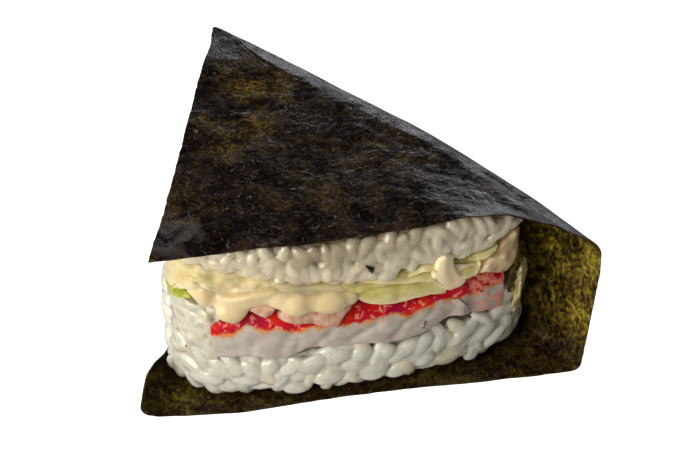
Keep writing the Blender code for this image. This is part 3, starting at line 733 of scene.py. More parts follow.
def grainTree():
    tree = bpy.data.node_groups.new("riceGrains", "GeometryNodeTree")
    tree.is_modifier = True
    kinds = {"Geometry": "Geometry", "Seats": "Object", "Length": "Float", "Width": "Float", "Thickness": "Float",
             "Spacing": "Float", "Tilt": "Float", "Lift": "Float", "Seed": "Int", "Material": "Material"}
    for name, kind in kinds.items():
        tree.interface.new_socket(name, in_out="INPUT", socket_type="NodeSocket" + kind)
    tree.interface.new_socket("Geometry", in_out="OUTPUT", socket_type="NodeSocketGeometry")
    given = addNode(tree, "NodeGroupInput").outputs
    # one grain: a blunt ellipsoid, a little bent, in three shapes
    half = addNode(tree, "ShaderNodeCombineXYZ", {"X": given["Length"], "Y": given["Width"], "Z": given["Thickness"]})
    variants = addNode(tree, "GeometryNodeJoinGeometry")
    for bend, lean in riceLook["bends"]:
        sphere = addNode(tree, "GeometryNodeMeshUVSphere", {"Segments": 9, "Rings": 8, "Radius": 0.5})
        turned = addNode(tree, "GeometryNodeTransform", {"Geometry": sphere.outputs["Mesh"],
                                                         "Rotation": (0, math.radians(90), 0)})
        place = addNode(tree, "GeometryNodeInputPosition")
        kept = addNode(tree, "GeometryNodeStoreNamedAttribute", {"Geometry": turned, "Name": "grainPlace", "Value": place},
                       data_type="FLOAT_VECTOR", domain="POINT")
        x = addNode(tree, "ShaderNodeSeparateXYZ", {0: place})
        square = addNode(tree, "ShaderNodeMath", {0: x.outputs["X"], 1: x.outputs["X"]}, operation="MULTIPLY")
        blunt = addNode(tree, "ShaderNodeMath", {0: square, 1: 0.3, 2: 1.0}, operation="MULTIPLY_ADD")
        rise = addNode(tree, "ShaderNodeMath", {0: square, 1: -bend * 1.6}, operation="MULTIPLY")
        leanBy = addNode(tree, "ShaderNodeMath", {0: x.outputs["X"], 1: lean}, operation="MULTIPLY")
        wide = addNode(tree, "ShaderNodeCombineXYZ", {"X": 1.0, "Y": blunt, "Z": blunt})
        shaped = addNode(tree, "ShaderNodeVectorMath", {0: place, 1: wide}, operation="MULTIPLY")
        moved = addNode(tree, "ShaderNodeCombineXYZ", {"X": 0.0, "Y": leanBy, "Z": rise})
        shaped = addNode(tree, "ShaderNodeVectorMath", {0: shaped, 1: moved}, operation="ADD")
        sized = addNode(tree, "ShaderNodeVectorMath", {0: shaped, 1: half}, operation="MULTIPLY")
        made = addNode(tree, "GeometryNodeSetPosition", {"Geometry": kept, "Position": sized.outputs["Vector"]})
        single = addNode(tree, "GeometryNodeGeometryToInstance", {0: made})
        tree.links.new(single.outputs[0], variants.inputs[0])
    # random seats over the core
    spots = addNode(tree, "GeometryNodeDistributePointsOnFaces", {
        "Mesh": given["Geometry"], "Distance Min": given["Spacing"], "Density Max": 1.2e6,
        "Density Factor": addNode(tree, "GeometryNodeInputNamedAttribute", {"Name": "spread"}, data_type="FLOAT"),
        "Seed": given["Seed"]}, distribute_method="POISSON")
    low = addNode(tree, "ShaderNodeMath", {0: given["Tilt"], 1: -1.0}, operation="MULTIPLY")
    least = addNode(tree, "ShaderNodeCombineXYZ", {"X": low, "Y": low, "Z": 0.0})
    most = addNode(tree, "ShaderNodeCombineXYZ", {"X": given["Tilt"], "Y": given["Tilt"], "Z": math.pi})
    turn = addNode(tree, "FunctionNodeRandomValue", {0: least, 1: most, "Seed": given["Seed"]},
                   data_type="FLOAT_VECTOR")
    turn = addNode(tree, "FunctionNodeEulerToRotation", {0: turn})
    faced = addNode(tree, "FunctionNodeRotateRotation", {0: spots.outputs["Rotation"], 1: turn},
                    rotation_space="LOCAL")
    stored = addNode(tree, "GeometryNodeStoreNamedAttribute", {"Geometry": spots.outputs["Points"], "Name": "turn",
                                                               "Value": faced},
                     data_type="QUATERNION", domain="POINT")
    step = addNode(tree, "FunctionNodeRandomValue", {2: -0.5, 3: 0.5, "Seed": 7}, data_type="FLOAT")
    step = addNode(tree, "ShaderNodeMath", {0: step.outputs[1], 1: given["Lift"]}, operation="MULTIPLY")
    step = addNode(tree, "ShaderNodeVectorMath", {0: spots.outputs["Normal"], "Scale": step}, operation="SCALE")
    lifted = addNode(tree, "GeometryNodeSetPosition", {"Geometry": stored, "Offset": step.outputs["Vector"]})
    # with the seats that were given one by one
    hand = addNode(tree, "GeometryNodeObjectInfo", {"Object": given["Seats"]})
    handPoints = addNode(tree, "GeometryNodeMeshToPoints", {"Mesh": hand.outputs["Geometry"]})
    handTurn = addNode(tree, "GeometryNodeInputNamedAttribute", {"Name": "seatTurn"}, data_type="FLOAT_VECTOR")
    handTurn = addNode(tree, "FunctionNodeEulerToRotation", {0: handTurn})
    handStored = addNode(tree, "GeometryNodeStoreNamedAttribute", {"Geometry": handPoints, "Name": "turn",
                                                                   "Value": handTurn},
                         data_type="QUATERNION", domain="POINT")
    both = addNode(tree, "GeometryNodeJoinGeometry", {0: lifted})
    tree.links.new(handStored.outputs[0], both.inputs[0])
    which = addNode(tree, "FunctionNodeRandomValue", {4: 0, 5: len(riceLook["bends"]) - 1, "Seed": 3}, data_type="INT")
    vary = addNode(tree, "FunctionNodeRandomValue", {0: (0.8, 0.86, 0.86), 1: (1.1, 1.12, 1.12), "Seed": 5},
                   data_type="FLOAT_VECTOR")
    share = addNode(tree, "GeometryNodeInputNamedAttribute", {"Name": "grainSize"}, data_type="FLOAT_VECTOR")
    vary = addNode(tree, "ShaderNodeVectorMath", {0: vary, 1: share}, operation="MULTIPLY")
    turned = addNode(tree, "GeometryNodeInputNamedAttribute", {"Name": "turn"}, data_type="QUATERNION")
    placed = addNode(tree, "GeometryNodeInstanceOnPoints", {
        "Points": both, "Instance": variants, "Pick Instance": True, "Instance Index": which.outputs[2],
        "Rotation": turned, "Scale": vary})
    tone = addNode(tree, "FunctionNodeRandomValue", {2: 0.0, 3: 1.0, "Seed": 9}, data_type="FLOAT")
    toned = addNode(tree, "GeometryNodeStoreNamedAttribute", {"Geometry": placed, "Name": "grainTone",
                                                              "Value": tone.outputs[1]},
                    data_type="FLOAT", domain="INSTANCE")
    real = addNode(tree, "GeometryNodeRealizeInstances", {0: toned})
    dressed = addNode(tree, "GeometryNodeSetMaterial", {"Geometry": real, "Material": given["Material"]})
    addNode(tree, "NodeGroupOutput", {0: dressed})
    return tree


def stickTree():
    # carries each grain's own values over to the one skin that the stuck grains make
    tree = bpy.data.node_groups.new("stuckGrains", "GeometryNodeTree")
    tree.is_modifier = True
    for name, kind in (("Geometry", "Geometry"), ("Grains", "Object"), ("Material", "Material")):
        tree.interface.new_socket(name, in_out="INPUT", socket_type="NodeSocket" + kind)
    tree.interface.new_socket("Geometry", in_out="OUTPUT", socket_type="NodeSocketGeometry")
    given = addNode(tree, "NodeGroupInput").outputs
    grains = addNode(tree, "GeometryNodeObjectInfo", {"Object": given["Grains"]}).outputs["Geometry"]
    last = given["Geometry"]
    for name, kind in (("grainPlace", "FLOAT_VECTOR"), ("grainTone", "FLOAT")):
        value = addNode(tree, "GeometryNodeInputNamedAttribute", {"Name": name}, data_type=kind)
        value = addNode(tree, "GeometryNodeSampleNearestSurface", {"Mesh": grains, "Value": value}, data_type=kind)
        last = addNode(tree, "GeometryNodeStoreNamedAttribute", {"Geometry": last, "Name": name, "Value": value},
                       data_type=kind, domain="POINT")
    soft = addNode(tree, "GeometryNodeSetShadeSmooth", {0: last})
    dressed = addNode(tree, "GeometryNodeSetMaterial", {"Geometry": soft, "Material": given["Material"]})
    addNode(tree, "NodeGroupOutput", {0: dressed})
    return tree


def setVector(mesh, key, values):
    mesh.attributes.new(key, "FLOAT_VECTOR", "POINT").data.foreach_set("vector", np.asarray(values, np.float32).ravel())


def insideNori(points):
    # points kept half a millimetre clear of the nori, moved towards the middle of the rice where they aren't
    middle = Vector((-3.0 * mm, -12.0 * mm, 20.0 * mm))
    kept = points.copy()
    for k, point in enumerate(points * mm):
        ray = Vector(point) - middle
        hit = noriSurface.ray_cast(middle, ray.normalized(), ray.length + 0.5 * mm)
        if hit[0]:
            kept[k] = np.array(middle + ray.normalized() * (hit[3] - 0.5 * mm)) / mm
    return kept


def riceCore(name, node, bodies, inset):
    # the pressed rice under the grains: the frame's solid, drawn in and lumpy
    piece = skin(name, [mergedCopy(node), *bodies], 1.1, 3)
    points, normals = pointsOf(piece.data), normalsOf(piece.data)
    setPoints(piece.data, points - normals * (inset + 0.35 * noise(points, 2.6, 12))[:, None])
    return piece


def seatsObject(name, seats):
    # grains given one by one on the front: x, height, angle in the front's plane, length share, how far out
    points, turns, sizes = [], [], []
    for x, z, angle, size, out in seats:
        away = frontSlope(np.float64(x))
        place = np.array([x, frontY(x), 0]) + np.array([*away, 0]) * (out - 0.55)
        points.append([place[0], place[1], z])
        turns.append([math.radians(90), -math.radians(angle), math.atan2(away[0], -away[1])])
        sizes.append([size, 1.0, 1.0])
    mesh = bpy.data.meshes.new(name)
    mesh.from_pydata((np.array(points).reshape(-1, 3) * mm).tolist(), [], [])
    setVector(mesh, "seatTurn", turns)
    setVector(mesh, "grainSize", sizes)
    seats = bpy.data.objects.new(name, mesh)
    bpy.context.scene.collection.objects.link(seats)
    seats.hide_render = True
    return seats


def addModifierTree(piece, tree, values):
    modifier = piece.modifiers.new(tree.name, "NODES")
    modifier.node_group = tree
    for item in tree.interface.items_tree:
        if item.in_out == "INPUT" and item.name in values:
            modifier[item.identifier] = values[item.name]


def grainLayer(core, key, spread, material, seats):
    # grains over one part of the core, stuck together in one skin with soft creases
    look = riceLook[key]
    layer = addObject(core.name + "_" + key, core.data.copy())
    setAttribute(layer.data, "spread", spread * 1.0)
    setVector(layer.data, "grainSize", np.ones((len(spread), 3)))
    seats = seatsObject("seats", seats)
    tree = bpy.data.node_groups.get("riceGrains") or grainTree()
    addModifierTree(layer, tree, {
        "Seats": seats, "Length": look["length"] * mm, "Width": look["width"] * mm, "Tilt": look["tilt"],
        "Thickness": look["thickness"] * mm, "Spacing": look["spacing"] * mm, "Lift": look["lift"] * mm,
        "Seed": look["seed"], "Material": material})
    grains = addObject("grains", evaluated(layer).copy())
    remesh = layer.modifiers.new("skin", "REMESH")
    remesh.mode = "VOXEL"
    remesh.voxel_size = look["voxel"] * mm
    soften = layer.modifiers.new("soften", "SMOOTH")
    soften.factor = 0.5
    soften.iterations = look["soften"]
    evaluated(layer)
    tree = bpy.data.node_groups.get("stuckGrains") or stickTree()
    addModifierTree(layer, tree, {"Grains": grains, "Material": material})
    evaluated(layer)
    bpy.data.objects.remove(grains)
    bpy.data.objects.remove(seats)
    return layer


def underFlap(points):
    # the upper rice stays inside the flap's left edge, the more the higher it is
    (x0, y0), (x1, y1) = noriLook["flapEdge"]
    edge = x0 + (points[:, 1] - y0) * (x1 - x0) / (y1 - y0)
    inset, lean = riceLook["underFlap"]
    points[:, 0] = np.maximum(points[:, 0], edge + inset - lean * (noriLook["top"] - points[:, 2]))
    return points


def crumbs(x, z):
    # loose crumbs of rice, from 1 to 3 mm across
    spot = np.stack([x, z, x * 0], axis=-1)
    return 0.7 * noise(spot, 2.4, 61) + 0.65 * noise(spot, 1.3, 62) + 0.3 * noise(spot, 0.8, 63)


def stickTogether(pieces, material):
    # one outer skin round the core and its layers
    for piece in pieces[1:]:
        union = pieces[0].modifiers.new("union", "BOOLEAN")
        union.operation = "UNION"
        union.solver = "MANIFOLD"
        union.object = piece
    mesh = evaluated(pieces[0])
    for piece in pieces[1:]:
        bpy.data.objects.remove(piece)
    mesh.materials.clear()
    mesh.materials.append(material)
    mesh.polygons.foreach_set("material_index", np.zeros(len(mesh.polygons), np.int32))
    points = pointsOf(mesh)
    # what stands out past the front is pressed back, and what hangs low is lifted off the nori
    out = frontY(points[:, 0]) - points[:, 1]
    points[:, 1] += 0.35 * np.maximum(out - 0.3, 0) * (out < 6)
    points[:, 2] = np.where(points[:, 2] < 1.8, 1.8 + 0.3 * (points[:, 2] - 1.8), points[:, 2])
    setPoints(mesh, insideNori(points))
    # creases are painted darker: painted shade
    most, deep = riceLook["crease"]
    setAttribute(mesh, "crease", np.clip(hollows(mesh, 5) / deep, 0, 1) * most)
    mesh.shade_smooth()
    return pieces[0]


lowerSeats = [(-40.2, 6.5, -30, 0.75, 0), (-35.4, 5.8, 2, 1.05, 0.3), (-31.1, 4.0, -10, 0.9, -0.2), (-32.0, 9.4, -35, 0.8, 0.1),
              (-25.8, 8.6, -52, 0.8, 0.4), (-22.0, 9.2, 62, 0.72, 0.2), (-19.7, 6.2, 55, 0.6, 0.0), (-12.9, 9.9, 27, 0.95, 0.5),
              (-7.9, 10.8, 20, 0.95, 0.1), (-9.7, 5.2, 10, 0.9, 0.2), (-16.5, 3.0, -4, 0.8, 0.0), (-2.5, 10.9, 36, 0.65, 0.4),
              (3.1, 10.4, 31, 0.5, 0.4), (7.2, 9.4, 40, 0.78, 0.3), (10.7, 9.7, 54, 0.95, 0.2), (14.9, 9.2, 68, 0.7, 0.4),
              (20.8, 10.2, 33, 1.2, 0.5), (24.3, 7.6, 30, 1.1, 0.1), (31.1, 15.9, 76, 0.75, -0.4), (-4.3, 8.0, -3, 0.75, 0.1),
              (0.1, 4.5, 5, 0.8, 0.1), (5.8, 4.2, 19, 0.8, 0.2), (11.4, 5.6, 15, 0.7, 0.2), (28.7, 12.2, 41, 0.8, -0.1)]
upperSeats = [(-36.3, 38.0, 88, 0.7, 0), (-33.5, 37.3, 80, 0.75, 0.1), (-29.2, 37.2, 88, 0.7, 0.3), (-27.0, 37.8, 68, 0.8, 0.1),
              (-24.7, 36.5, 104, 0.8, 0.4), (-22.3, 37.4, 80, 0.75, 0), (-20.2, 37.4, 110, 0.75, 0.2), (-16.7, 35.7, 80, 0.75, 0.3),
              (-14.9, 34.6, 76, 0.8, 0.4), (-12.2, 34.4, 95, 0.75, 0.3), (-8.0, 34.0, 94, 0.85, 0.5), (-5.4, 35.2, 110, 0.8, 0.1),
              (2.9, 31.4, 10, 0.95, 0.6), (-2.2, 32.3, -50, 0.7, 0.4), (13.7, 34.0, 29, 0.8, 0.2), (18.6, 33.4, -36, 0.75, 0),
              (23.4, 32.6, 10, 0.8, 0.1), (8.6, 34.2, 30, 0.8, 0.3)]


def riceZones(core):
    # for each point of the core: how far behind the front it is, and whether it faces away from the middle
    points, normals = pointsOf(core.data), normalsOf(core.data)
    out = points[:, :2] - np.array([-3.0, -12.0])
    out /= np.linalg.norm(out, axis=1, keepdims=True)
    return points, normals, points[:, 1] - frontY(points[:, 0]), (normals[:, :2] * out).sum(axis=1)


def buildRice():
    look = riceLook
    core = riceCore("rice_bed", "rice_lower", [], look["bedInset"])
    points, normals, behind, facing = riceZones(core)
    material = riceMaterial("steamedRice", "d8d0b8", "cfcec2", "efeee4", "94907a", "c9bfa8", 0.0024)
    setAttribute(core.data, "core", np.ones(len(points)))
    setAttribute(core.data, "grainTone", np.full(len(points), 0.55))
    x, z = points[:, 0], points[:, 2]
    column = (x < -33.6) & (z > 12.5)
    shown = (facing > 0.15) & (normals[:, 2] > -0.6) & (z > 2.2)
    front = grainLayer(core, "front", shown & (behind < 7) & ~column, material, lowerSeats)
    side = grainLayer(core, "side", shown & (behind >= 5) & ((x < -14) | (points[:, 1] < -12)), material, [])
    fill = skin("fill", [slab(look["fill"], 4.0, 60, 110, crumbs)], 0.3, 1)
    spot = pointsOf(fill.data)
    setAttribute(fill.data, "grainTone", 0.2 + 0.2 * noise(spot, 2.0, 64))
    bed = stickTogether([core, front, side, fill], material)
    finishPiece(bed, "rice_lower", "rice_lower")
    core = riceCore("rice_cap", "rice_upper", [], look["capInset"])
    points, normals, behind, facing = riceZones(core)
    material = riceMaterial("pressedRice", "e2d6b8", "dcd4be", "ede5d0", "b4a27c", "8a7b5e", 0.0034)
    setAttribute(core.data, "core", np.ones(len(points)))
    setAttribute(core.data, "grainTone", np.full(len(points), 0.55))
    shown = (facing > 0.1) & (normals[:, 2] < 0.8) & (points[:, 2] < 40.8)
    front = grainLayer(core, "cap", shown & (behind < 8), material, upperSeats)
    side = grainLayer(core, "side", shown & (behind >= 6) & (points[:, 0] < -14), material, [])
    cap = stickTogether([core, front, side], material)
    setPoints(cap.data, underFlap(pointsOf(cap.data)))
    x, z = frontPlace(pointsOf(cap.data))
    # the middle is painted darker, more so higher up under the flap: painted shade
    soaked = along(look["soaked"], x) * (0.3 + 0.7 * ease(33, 38, z))
    # the lowest grains of the middle get painted shade too
    lowShade = 0.45 * (1 - ease(31.5, 34.5, z)) * ease(-34, -28, x) * (1 - ease(-16, -8, x))
    setAttribute(cap.data, "soaked", np.maximum(soaked, lowShade))
    finishPiece(cap, "rice_upper", "rice_upper")


buildRice()


# filling: crab stick

crabLook = {
    "voxel": 0.42,
    "bottom": [(-33.4, 12.2, 0.9), (-29.5, 12.4, 1.0), (-25.9, 12.8, 1.1), (-21.0, 11.8, 1.2), (-17.9, 12.0, 1.1),
               (-16.0, 12.8, 1.0), (-14.0, 14.3, 0.9), (-10.0, 14.2, 0.9), (-6.6, 13.9, 1.0), (-1.8, 13.5, 1.0),
               (3.2, 12.5, 1.2), (7.0, 12.6, 1.2), (10.6, 12.9, 1.2), (14.0, 14.8, 0.9), (16.9, 15.8, 0.7),
               (21.6, 14.7, 0.8), (25.0, 14.2, 0.7), (29.4, 13.6, 0.4)],
    "belly": [(-33.7, 16.0, 1.1), (-20.0, 16.0, 1.3), (-5.0, 16.6, 1.3), (10.0, 17.0, 1.4), (20.0, 17.6, 1.1), (29.6, 17.0, 0.6)],
    "brow": [(-33.9, 20.6, 0.7), (-20.0, 20.8, 0.9), (-5.0, 20.8, 0.9), (10.0, 21.4, 1.0), (20.0, 21.8, 0.8), (29.8, 21.5, 0.3)],
    "crown": [(-33.0, 24.2, -1.4), (-20.0, 25.0, -1.2), (-5.0, 25.5, -1.2), (10.0, 25.0, -1.2), (20.0, 26.0, -1.2),
              (29.4, 25.4, -1.4)],
    # where the red skin ends, seen from the front
    "redLow": [(-34.0, 18.5), (-30.9, 19.0), (-28.7, 19.2), (-26.5, 21.2), (-22.2, 19.9), (-20.0, 20.6), (-17.8, 19.2),
               (-15.6, 19.6), (-13.3, 20.0), (-10.8, 19.6), (-6.9, 20.0), (-2.9, 19.5), (0.5, 19.9), (3.7, 20.4),
               (7.6, 19.2), (9.8, 20.7), (15.0, 21.0), (19.4, 20.4), (23.2, 20.7), (26.0, 21.0), (30.0, 19.4)],
    # folds pressed into the pale side: from x, z to x, z, half width, depth
    "folds": [(0.7, 18.4, -4.8, 15.6, 0.9, 0.8), (6.3, 16.6, 4.1, 14.0, 0.8, 0.7), (9.1, 18.4, 6.6, 17.2, 0.7, 0.6),
              (-9.0, 18.2, -12.4, 14.8, 0.8, 0.5), (-17.6, 18.4, -19.6, 14.0, 0.9, 0.45), (-15.4, 17.0, -16.4, 13.4, 0.6, 0.4),
              (-25.0, 17.0, -25.8, 13.2, 0.7, 0.35), (13.0, 18.8, 10.4, 16.4, 0.7, 0.5), (19.0, 19.0, 16.8, 16.6, 0.6, 0.35)],
}


def crabMaterial():
    # pressed fish paste: milky white and fibrous with a moist sheen, its skin dyed red, the dye bleeding orange
    material, tree = newMaterial("pressedCrabPaste")
    coords = addNode(tree, "ShaderNodeTexCoord").outputs["Object"]
    height = addNode(tree, "ShaderNodeAttribute", attribute_name="aboveDye").outputs["Fac"]
    rightEnd = addNode(tree, "ShaderNodeAttribute", attribute_name="rightEnd").outputs["Fac"]
    cloud = addNode(tree, "ShaderNodeTexNoise", {"Vector": coords, "Scale": 260.0, "Detail": 4.0, "Roughness": 0.6})
    spots = addNode(tree, "ShaderNodeTexNoise", {"Vector": coords, "Scale": 330.0, "Detail": 4.0, "Roughness": 0.55})
    fibre = addNode(tree, "ShaderNodeMapping", {"Vector": coords, "Scale": (300, 400, 420), "Rotation": (0, 0.5, 0)})
    fibre = addNode(tree, "ShaderNodeTexNoise", {"Vector": fibre, "Scale": 1.0, "Detail": 5.0, "Roughness": 0.6})
    flesh = addNode(tree, "ShaderNodeValToRGB", {"Fac": fibre.outputs["Fac"]},
                    [(0.30, "aea398"), (0.5, "b8ada3"), (0.72, "c6beb5")])
    # the dye ends in a torn line: its height above the line, shaken by the clouds
    torn = addNode(tree, "ShaderNodeMath", {0: cloud.outputs["Fac"], 1: 0.5}, operation="SUBTRACT")
    edge = addNode(tree, "ShaderNodeMath", {0: torn, 1: 4.0, 2: height}, operation="MULTIPLY_ADD")
    dyed = addNode(tree, "ShaderNodeMapRange", {"Value": edge, "From Min": -0.25, "From Max": 0.45})
    halo = addNode(tree, "ShaderNodeMapRange", {"Value": edge, "From Min": -2.6, "From Max": -0.1})
    halo = addNode(tree, "ShaderNodeMath", {0: halo, 1: spots.outputs["Fac"]}, operation="MULTIPLY")
    halo = addNode(tree, "ShaderNodeMapRange", {"Value": halo, "From Min": 0.30, "From Max": 0.50})
    bled = addNode(tree, "ShaderNodeMix", {0: halo, 6: flesh.outputs["Color"], 7: linear("d08a4c")}, data_type="RGBA")
    red = addNode(tree, "ShaderNodeValToRGB", {"Fac": cloud.outputs["Fac"]},
                  [(0.38, "a00638"), (0.50, "b80e22"), (0.62, "d42612")])
    # pale places where the dyed skin has rubbed off, in flecks about 1.5 mm across
    flecks = addNode(tree, "ShaderNodeTexNoise", {"Vector": coords, "Scale": 520.0, "Detail": 5.0, "Roughness": 0.6,
                                                  "Distortion": 0.8})
    rubbed = addNode(tree, "ShaderNodeMapRange", {"Value": flecks.outputs["Fac"], "From Min": 0.55, "From Max": 0.60})
    red = addNode(tree, "ShaderNodeMix", {0: rubbed, 6: red.outputs["Color"], 7: linear("d98a78")}, data_type="RGBA")
    colour = addNode(tree, "ShaderNodeMix", {0: dyed, 6: bled.outputs[2], 7: red.outputs[2]}, data_type="RGBA")
    mottle = addNode(tree, "ShaderNodeMapRange", {"Value": flecks.outputs["Fac"], "From Min": 0.44, "From Max": 0.56})
    mottle = addNode(tree, "ShaderNodeMath", {0: mottle, 1: rightEnd}, operation="MULTIPLY")
    stain = addNode(tree, "ShaderNodeMix", {0: cloud.outputs["Fac"], 6: linear("e07a68"), 7: linear("f0a898")},
                    data_type="RGBA")
    colour = addNode(tree, "ShaderNodeMix", {0: mottle, 6: colour.outputs[2], 7: stain.outputs[2]}, data_type="RGBA")
    bump = addNode(tree, "ShaderNodeBump", {"Height": fibre.outputs["Fac"], "Strength": 0.15, "Distance": 0.0004})
    paste = addNode(tree, "ShaderNodeBsdfPrincipled", {
        "Base Color": colour.outputs[2], "Roughness": 0.42, "Normal": bump, "Subsurface Weight": 0.35,
        "Specular IOR Level": 0.12,
        "Subsurface Radius": (1.0, 0.6, 0.45), "Subsurface Scale": 0.0012})
    addNode(tree, "ShaderNodeOutputMaterial", {"Surface": paste})
    return material


def crabFolds(x, z):
    # a soft wave, the folds pressed across the pale side, and scallops along the lower edge
    fade = 1 - ease(18, 22, z)
    spot = np.stack([x, z, x * 0], axis=-1)
    relief = 0.25 * noise(spot, 5.0, 41) * fade + 0.12 * noise(spot, 1.8, 42)
    relief = relief + 0.5 * noise(np.stack([x, x * 0, x * 0], axis=-1), 3.0, 44) * (1 - ease(12, 16, z))
    for x0, z0, x1, z1, wide, deep in crabLook["folds"]:
        run = np.array([x1 - x0, z1 - z0])
        share = np.clip(((x - x0) * run[0] + (z - z0) * run[1]) / (run @ run), 0, 1)
        apart = np.hypot(x - x0 - share * run[0], z - z0 - share * run[1])
        relief = relief - 0.75 * deep * np.exp(-(apart / wide) ** 2)
    return relief


def buildCrab():
    look = crabLook
    front = slab([look[k] for k in ("bottom", "belly", "brow", "crown")], 6.0, 150, 34, crabFolds)
    piece = skin("crab_paste", [mergedCopy("crab_stick", 0.7), front], look["voxel"], 3)
    x, z = frontPlace(pointsOf(piece.data))
    setAttribute(piece.data, "aboveDye", z - along(look["redLow"], x))
    setAttribute(piece.data, "rightEnd", ease(17, 25, x) * 0.85)
    piece.data.materials.append(crabMaterial())
    finishPiece(piece, "crab_stick", "crab_stick")


buildCrab()


# filling: flakes of tuna

tunaLook = {
    "voxel": 0.34,
    "left": [[(-25.9, 25.5, 0.6), (-24.4, 24.5, 1.2), (-22.7, 23.3, 1.5), (-21.3, 24.2, 1.3), (-20.4, 25.6, 0.8)],
             [(-25.7, 25.9, 0.8), (-24.0, 25.5, 1.7), (-22.6, 25.0, 1.9), (-21.4, 25.6, 1.6), (-20.2, 26.4, 0.8)],
             [(-25.2, 26.6, 0.2), (-23.6, 27.3, 0.5), (-22.4, 27.6, 0.5), (-21.2, 27.8, 0.4), (-20.1, 27.2, 0.1)]],
    "right": [[(-20.1, 23.4, 0.6), (-18.6, 22.0, 1.2), (-16.1, 20.9, 1.5), (-13.3, 21.0, 1.6), (-10.8, 20.0, 1.7),
               (-8.6, 19.8, 1.8), (-7.6, 19.0, 1.9), (-6.9, 21.0, 1.6), (-4.9, 24.0, 1.0)],
              [(-20.0, 24.0, 0.8), (-18.4, 23.6, 1.6), (-16.0, 22.8, 2.0), (-13.0, 22.6, 2.0), (-10.8, 22.2, 2.2),
               (-8.6, 22.0, 2.2), (-7.3, 21.6, 2.0), (-6.4, 22.8, 1.7), (-4.6, 24.9, 0.9)],
              [(-19.6, 25.2, 0.2), (-18.0, 25.6, 0.6), (-15.6, 25.4, 0.7), (-13.0, 25.2, 0.7), (-10.4, 25.0, 0.7),
               (-8.4, 25.0, 0.7), (-7.0, 25.2, 0.6), (-5.6, 25.6, 0.5), (-4.2, 26.0, 0.2)]],
}


def tunaMaterial():
    # cooked tuna: matt pinkish flesh in fine parallel fibres, paler where it flakes
    material, tree = newMaterial("cookedTunaFlake")
    coords = addNode(tree, "ShaderNodeTexCoord").outputs["Object"]
    fibre = addNode(tree, "ShaderNodeMapping", {"Vector": coords, "Scale": (1000, 500, 260), "Rotation": (0, -0.35, 0.2)})
    fibre = addNode(tree, "ShaderNodeTexNoise", {"Vector": fibre, "Scale": 1.0, "Detail": 4.0, "Roughness": 0.55})
    cloud = addNode(tree, "ShaderNodeTexNoise", {"Vector": coords, "Scale": 330.0, "Detail": 4.0, "Roughness": 0.6})
    flesh = addNode(tree, "ShaderNodeValToRGB", {"Fac": cloud.outputs["Fac"]},
                    [(0.34, "b07a62"), (0.5, "c2957c"), (0.64, "d6b8a0")])
    strand = addNode(tree, "ShaderNodeValToRGB", {"Fac": fibre.outputs["Fac"]}, [(0.36, "ac765c"), (0.6, "e2c8b0")])
    colour = addNode(tree, "ShaderNodeMix", {0: 0.2, 6: flesh.outputs["Color"], 7: strand.outputs["Color"]},
                     data_type="RGBA")
    bump = addNode(tree, "ShaderNodeBump", {"Height": fibre.outputs["Fac"], "Strength": 0.35, "Distance": 0.0005})
    meat = addNode(tree, "ShaderNodeBsdfPrincipled", {
        "Base Color": colour.outputs[2], "Roughness": 0.5, "Normal": bump, "Subsurface Weight": 0.3,
        "Subsurface Radius": (1.0, 0.5, 0.35), "Subsurface Scale": 0.001})
    addNode(tree, "ShaderNodeOutputMaterial", {"Surface": meat})
    return material


def tunaRidges(x, z):
    # ridges between the fibres, leaning to the right as they go up
    place = np.stack([x - 0.3 * z, z * 0.25, z * 0], axis=-1)
    flat = np.stack([x, z, x * 0], axis=-1)
    return 0.1 * noise(place, 1.1, 51) + 0.35 * noise(flat, 2.2, 52) + 0.2 * noise(flat, 1.0, 53)


def buildTuna():
    material = tunaMaterial()
    for side in ("left", "right"):
        node = "tuna_flake_" + side
        front = slab(tunaLook[side], 2.4, 70, 26, tunaRidges)
        piece = skin("tuna_" + side, [mergedCopy(node, 0.5), front], tunaLook["voxel"], 1)
        piece.data.materials.append(material)
        finishPiece(piece, "tuna", node)


buildTuna()


# filling: sauce

